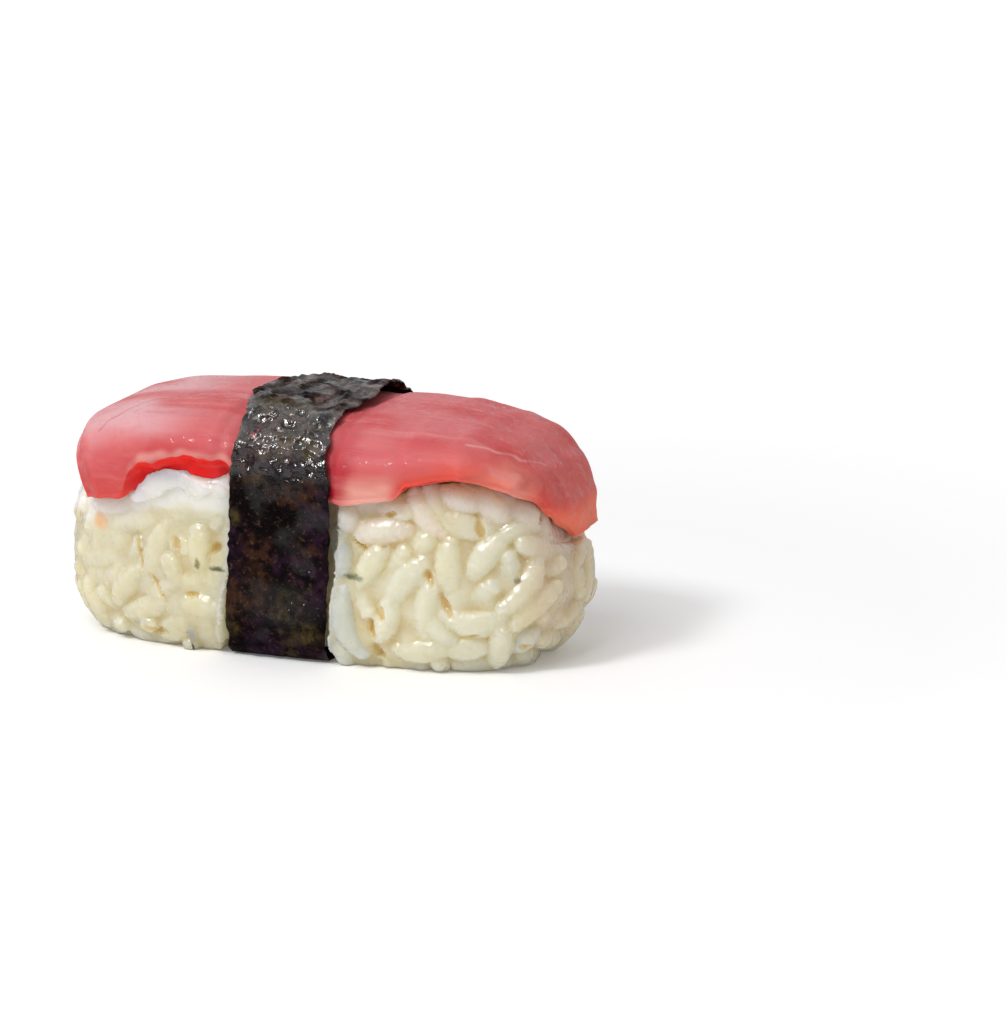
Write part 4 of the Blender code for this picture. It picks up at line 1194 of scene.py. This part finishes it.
def finish_nori(nori):
    """The colour values of the nori, and where it shines: on its bend, and in patches."""
    mesh = nori.data
    points = get_points(mesh)
    x, y, z = points.T
    raised = smooth((z - 20.5) / 3.0)
    tint = Tint(len(points), NORI_BLACK)
    fine = 0.5 * lumps(points, 0.8, 72)
    tint.lay(NORI_PURPLE, smooth(0.2 + 1.4 * lumps(points, 3.6, 71) + fine))
    tint.lay(NORI_BROWN, 0.9 * smooth(0.1 + 1.4 * lumps(points, 3.0, 73) + fine))
    tint.lay(NORI_OLIVE, 0.7 * smooth(-0.5 + 1.6 * lumps(points, 3.8, 75) + fine))
    # Painted sheen: the top of the sheet is lighter grey in patches.
    tint.lay(PAINTED_NORI_SHEEN, 0.85 * raised * smooth(0.4 + 1.8 * lumps(points, 1.3, 76)))
    crown = np.hypot((x + 2.5) / 3.4, (y + 6.5) / 2.6) + 0.5 * lumps(points, 0.9, 80)
    tint.lay(NORI_OLIVE, 0.8 * raised * smooth(1.6 - 1.3 * crown))
    for patch_x, patch_z, radius in OLIVE_PATCHES:
        away = np.hypot(x - patch_x, z - patch_z) / radius + 0.6 * lumps(points, 1.0, 77)
        tint.lay(NORI_OLIVE, 0.8 * smooth(1.3 - away) * (y < -5.0))
    spot = np.sqrt(((x + 3.4) / 0.35) ** 2 + ((z - 23.4) / 0.4) ** 2) + 0.5 * lumps(points, 0.5, 74)
    tint.lay(TORN_RED, 0.85 * smooth(1.5 - spot) * (y < -8.0))
    gloss = 0.35 * smooth(0.1 + 1.8 * lumps(points, 2.6, 78) + 0.5 * lumps(points, 1.1, 79))
    bent = smooth((z - 18.8) / 1.2) * smooth((-5.0 - y) / 3.0)
    damp = 0.3 * smooth(1.5 - np.hypot((x + 0.5) / 4.0, (z - 6.0) / 2.2)) * (y < 0)
    patchy = smooth(0.4 + 1.8 * lumps(points, 1.4, 81))
    top = raised * (1.0 - bent)
    tint.keep(mesh, np.maximum(gloss, np.maximum(bent, damp)) * (1.0 - top) + patchy * top)


def add_node(tree, kind, wires, **settings):
    """A shader node with its settings, and its inputs linked from sockets or set to values."""
    node = tree.nodes.new(kind)
    for key, value in settings.items():
        setattr(node, key, value)
    for key, value in wires.items():
        if isinstance(value, bpy.types.NodeSocket):
            tree.links.new(value, node.inputs[key])
        else:
            node.inputs[key].default_value = value
    return node


def mix(tree, share, first, second):
    """One colour laid over another by a share. A colour mix reads sockets 6 and 7, and gives socket 2."""
    return add_node(tree, "ShaderNodeMix", {0: share, 6: first, 7: second}, data_type="RGBA").outputs[2]


def spread(tree, value, low, high, to_low=0.0, to_high=1.0):
    """A value mapped from one range to another, held at its ends."""
    wires = {0: value, 1: low, 2: high, 3: to_low, 4: to_high}
    return add_node(tree, "ShaderNodeMapRange", wires).outputs[0]


def blotches(tree, where, scale, detail=3.0, roughness=0.5, stretch=None, swirl=0.0):
    """Noise from 0 to 1 over the object, with its scale in blotches to a metre."""
    if stretch:
        where = add_node(tree, "ShaderNodeMapping", {"Vector": where, "Scale": stretch}).outputs[0]
    wires = {"Vector": where, "Scale": scale, "Detail": detail, "Roughness": roughness, "Distortion": swirl}
    return add_node(tree, "ShaderNodeTexNoise", wires).outputs[0]


def calculate(tree, operation, first, second=0.0):
    return add_node(tree, "ShaderNodeMath", {0: first, 1: second}, operation=operation).outputs[0]


def coordinates(tree, kind):
    return add_node(tree, "ShaderNodeTexCoord", {}).outputs[kind]


def bumps(tree, height, strength, distance, normal=None):
    """Relief on the shading alone, up to a distance in metres, over another such relief."""
    wires = {"Height": height, "Strength": strength, "Distance": distance}
    if normal:
        wires["Normal"] = normal
    return add_node(tree, "ShaderNodeBump", wires).outputs[0]


def new_material(name):
    """A Principled material that starts from the mesh's own tints and the object's coordinates."""
    made = bpy.data.materials.new(name)
    made.use_nodes = True
    tree = made.node_tree
    shader = tree.nodes["Principled BSDF"]
    tint = add_node(tree, "ShaderNodeAttribute", {}, attribute_name="tint").outputs
    return made, tree, shader, coordinates(tree, "Object"), tint["Color"], tint["Alpha"]


def finish_shader(tree, shader, values, **wires):
    """Sets the shader's plain values, and links the rest to the sockets of their names."""
    for key, value in values.items():
        shader.inputs[key].default_value = value
    for key, value in wires.items():
        tree.links.new(value, shader.inputs[key.replace("_", " ")])


def creases(tree, where, scale, width, swirl):
    """1 on thin winding lines, falling to 0 beside them."""
    field = blotches(tree, where, scale, 3.0, 0.6, swirl=swirl)
    away = calculate(tree, "ABSOLUTE", calculate(tree, "SUBTRACT", field, 0.5))
    return spread(tree, away, 0.0, width, 1.0, 0.0)


def rice_material():
    made, tree, shader, where, tint, _ = new_material("rice_looks")
    cloudy = blotches(tree, where, 420.0, 3.0)
    tint = mix(tree, spread(tree, cloudy, 0.42, 0.68, 0.0, 0.4), tint, (0.80, 0.76, 0.60, 1))
    rough = spread(tree, blotches(tree, where, 900.0, 3.0), 0.35, 0.7, 0.22, 0.42)
    pimples = blotches(tree, where, 1300.0, 3.0, 0.55)
    values = {
        "Subsurface Weight": 1.0,
        "Subsurface Radius": (1.0, 0.88, 0.62),
        "Subsurface Scale": 0.006,
        "Specular IOR Level": 0.4,
        "Coat Weight": 0.75,
        "Coat Roughness": 0.16,
    }
    dew = bumps(tree, blotches(tree, where, 1100.0, 1.0, 0.5), 1.0, 0.00012)
    normal = bumps(tree, pimples, 0.3, 0.00012)
    finish_shader(tree, shader, values, Base_Color=tint, Roughness=rough, Normal=normal, Coat_Normal=dew)
    return made


def tuna_material():
    made, tree, shader, where, tint, _ = new_material("tuna_looks")
    fibre = blotches(tree, where, 1.0, 3.0, 0.55, (60.0, 600.0, 600.0))
    tint = mix(tree, spread(tree, fibre, 0.54, 0.72, 0.0, 0.35), tint, (0.74, 0.30, 0.30, 1))
    dark = blotches(tree, where, 1.0, 2.0, 0.5, (110.0, 420.0, 420.0))
    tint = mix(tree, spread(tree, dark, 0.55, 0.75, 0.0, 0.4), tint, (0.52, 0.06, 0.07, 1))
    rough = spread(tree, blotches(tree, where, 700.0, 3.0), 0.3, 0.7, 0.42, 0.62)
    flecks = blotches(tree, where, 2600.0, 3.0, 0.6)
    strands = blotches(tree, where, 1.0, 3.0, 0.6, (260.0, 2100.0, 2100.0))
    normal = bumps(tree, strands, 0.4, 0.00018, bumps(tree, flecks, 0.3, 0.0001))
    drops = blotches(tree, where, 1500.0, 2.0, 0.5)
    wet = spread(tree, drops, 0.58, 0.66, 0.0, 0.7)
    glint = bumps(tree, drops, 1.0, 0.00012)
    values = {
        "Subsurface Weight": 0.6,
        "Subsurface Radius": (1.0, 0.3, 0.24),
        "Subsurface Scale": 0.0018,
        "Specular IOR Level": 0.2,
        "Coat Roughness": 0.14,
    }
    wires = {"Roughness": rough, "Coat_Weight": wet, "Coat_Normal": glint}
    finish_shader(tree, shader, values, Base_Color=tint, Normal=normal, **wires)
    return made


def nori_material():
    made, tree, shader, where, tint, gloss = new_material("nori_looks")
    mottle = blotches(tree, where, 900.0, 4.0, 0.65)
    tint = mix(tree, spread(tree, mottle, 0.42, 0.62, 0.0, 0.92), tint, (0.002, 0.001, 0.0015, 1))
    speckle = blotches(tree, where, 2300.0, 3.0, 0.7)
    tint = mix(tree, spread(tree, speckle, 0.57, 0.72, 0.0, 0.6), tint, (0.11, 0.062, 0.034, 1))
    rough = spread(tree, mottle, 0.4, 0.65, 0.3, 0.6)
    wrinkles = creases(tree, where, 620.0, 0.12, 1.8)
    crumple = blotches(tree, where, 760.0, 1.5, 0.6, swirl=1.2)
    normal = bumps(tree, crumple, 1.0, 0.00019, bumps(tree, wrinkles, 0.5, 0.00004))
    values = {"Specular IOR Level": 0.06, "Coat Roughness": 0.13, "Coat IOR": 2.0}
    wires = {"Roughness": rough, "Coat_Weight": gloss, "Coat_Normal": normal}
    finish_shader(tree, shader, values, Base_Color=tint, Normal=normal, **wires)
    return made


def floor_material():
    """The table: it glows a little, more so far off, and is dimmer where the wet food mirrors it."""
    made = bpy.data.materials.new("table")
    made.use_nodes = True
    tree = made.node_tree
    shader = tree.nodes["Principled BSDF"]
    ray = add_node(tree, "ShaderNodeLightPath", {}).outputs
    mirrored = ray["Is Glossy Ray"]
    where = coordinates(tree, "Object")
    away = add_node(tree, "ShaderNodeVectorMath", {0: where}, operation="LENGTH").outputs["Value"]
    haze = calculate(tree, "MULTIPLY", spread(tree, away, *HAZE_REACH, 0.0, HAZE_GLOW), ray["Is Camera Ray"])
    glow = calculate(tree, "ADD", haze, spread(tree, mirrored, 0.0, 1.0, TABLE_GLOW, 0.0))
    colour = mix(tree, mirrored, TABLE_WHITE, TABLE_MIRRORED)
    values = {"Roughness": 0.7, "Specular IOR Level": 0.2, "Emission Color": (1.0, 1.0, 1.0, 1)}
    finish_shader(tree, shader, values, Base_Color=colour, Emission_Strength=glow)
    return made


def area_light(name, place, size, power):
    """A square soft light that points at the piece."""
    light = bpy.data.lights.new(name, "AREA")
    light.size = size
    light.energy = power
    lamp = bpy.data.objects.new(name, light)
    lamp.location = place
    lamp.rotation_euler = (Vector(LIGHT_AIM) - Vector(place)).to_track_quat("-Z", "Y").to_euler()
    bpy.context.scene.collection.objects.link(lamp)


def make_room():
    """A white room whose far side shines on the piece and whose near side is dim."""
    world = bpy.data.worlds.new("room")
    world.use_nodes = True
    tree = world.node_tree
    backdrop = tree.nodes["Background"]
    turn = math.radians(AZIMUTH)
    wires = {0: coordinates(tree, "Generated"), 1: (-math.sin(turn), math.cos(turn), ROOM_TILT)}
    behind = add_node(tree, "ShaderNodeVectorMath", wires, operation="DOT_PRODUCT").outputs["Value"]
    ray = add_node(tree, "ShaderNodeLightPath", {}).outputs
    near = spread(tree, ray["Is Glossy Ray"], 0.0, 1.0, NEAR_SHINE, NEAR_MIRRORED)
    shine = spread(tree, behind, *ROOM_PASSAGE, near, FAR_SHINE)
    tree.links.new(spread(tree, ray["Is Camera Ray"], 0.0, 1.0, shine, 1.0), backdrop.inputs["Strength"])
    backdrop.inputs["Color"].default_value = (1.0, 1.0, 1.0, 1)
    return world


def make_stage():
    """A pale table under a soft key light from the upper left, in a bright room."""
    bpy.ops.mesh.primitive_plane_add(size=TABLE_SIZE)
    table = bpy.context.active_object
    table.name = "table"
    table.data.materials.append(floor_material())
    bpy.context.scene.world = make_room()
    area_light("key", *KEY)
    area_light("spark", *SPARK)
    view = bpy.context.scene.view_settings
    view.view_transform = "Standard"
    view.look = "None"


def make_camera():
    """The camera that sees the piece as in the picture, off to the lower left of the view."""
    turn, rise = math.radians(AZIMUTH), math.radians(ELEVATION)
    right = Vector((math.cos(turn), math.sin(turn), 0.0))
    level = Vector((-math.sin(turn), math.cos(turn), 0.0))
    forward = level * math.cos(rise) - Vector((0.0, 0.0, math.sin(rise)))
    up = right.cross(forward)
    metres = MM / PIXELS_PER_MM
    aim = right * (PICTURE_WIDTH / 2 - MIDDLE_U) * metres - up * (PICTURE_HEIGHT / 2 - MIDDLE_V) * metres
    lens = bpy.data.cameras.new("camera")
    lens.sensor_fit = "HORIZONTAL"
    lens.sensor_width = SENSOR_WIDTH
    lens.lens = SENSOR_WIDTH * CAMERA_DISTANCE / (PICTURE_WIDTH * metres)
    camera = bpy.data.objects.new("camera", lens)
    turned = Matrix((right, up, -forward)).transposed().to_4x4()
    camera.matrix_world = Matrix.Translation(aim - forward * CAMERA_DISTANCE) @ turned
    bpy.context.scene.collection.objects.link(camera)
    bpy.context.scene.camera = camera


def main():
    make_camera()
    make_stage()
    for make, finish, node in (
        (make_rice, rice_material, "rice"),
        (make_tuna, tuna_material, "tuna"),
        (make_nori, nori_material, "nori"),
    ):
        piece = make()
        piece.data.materials.clear()
        piece.data.materials.append(finish())
        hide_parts(node)


main()
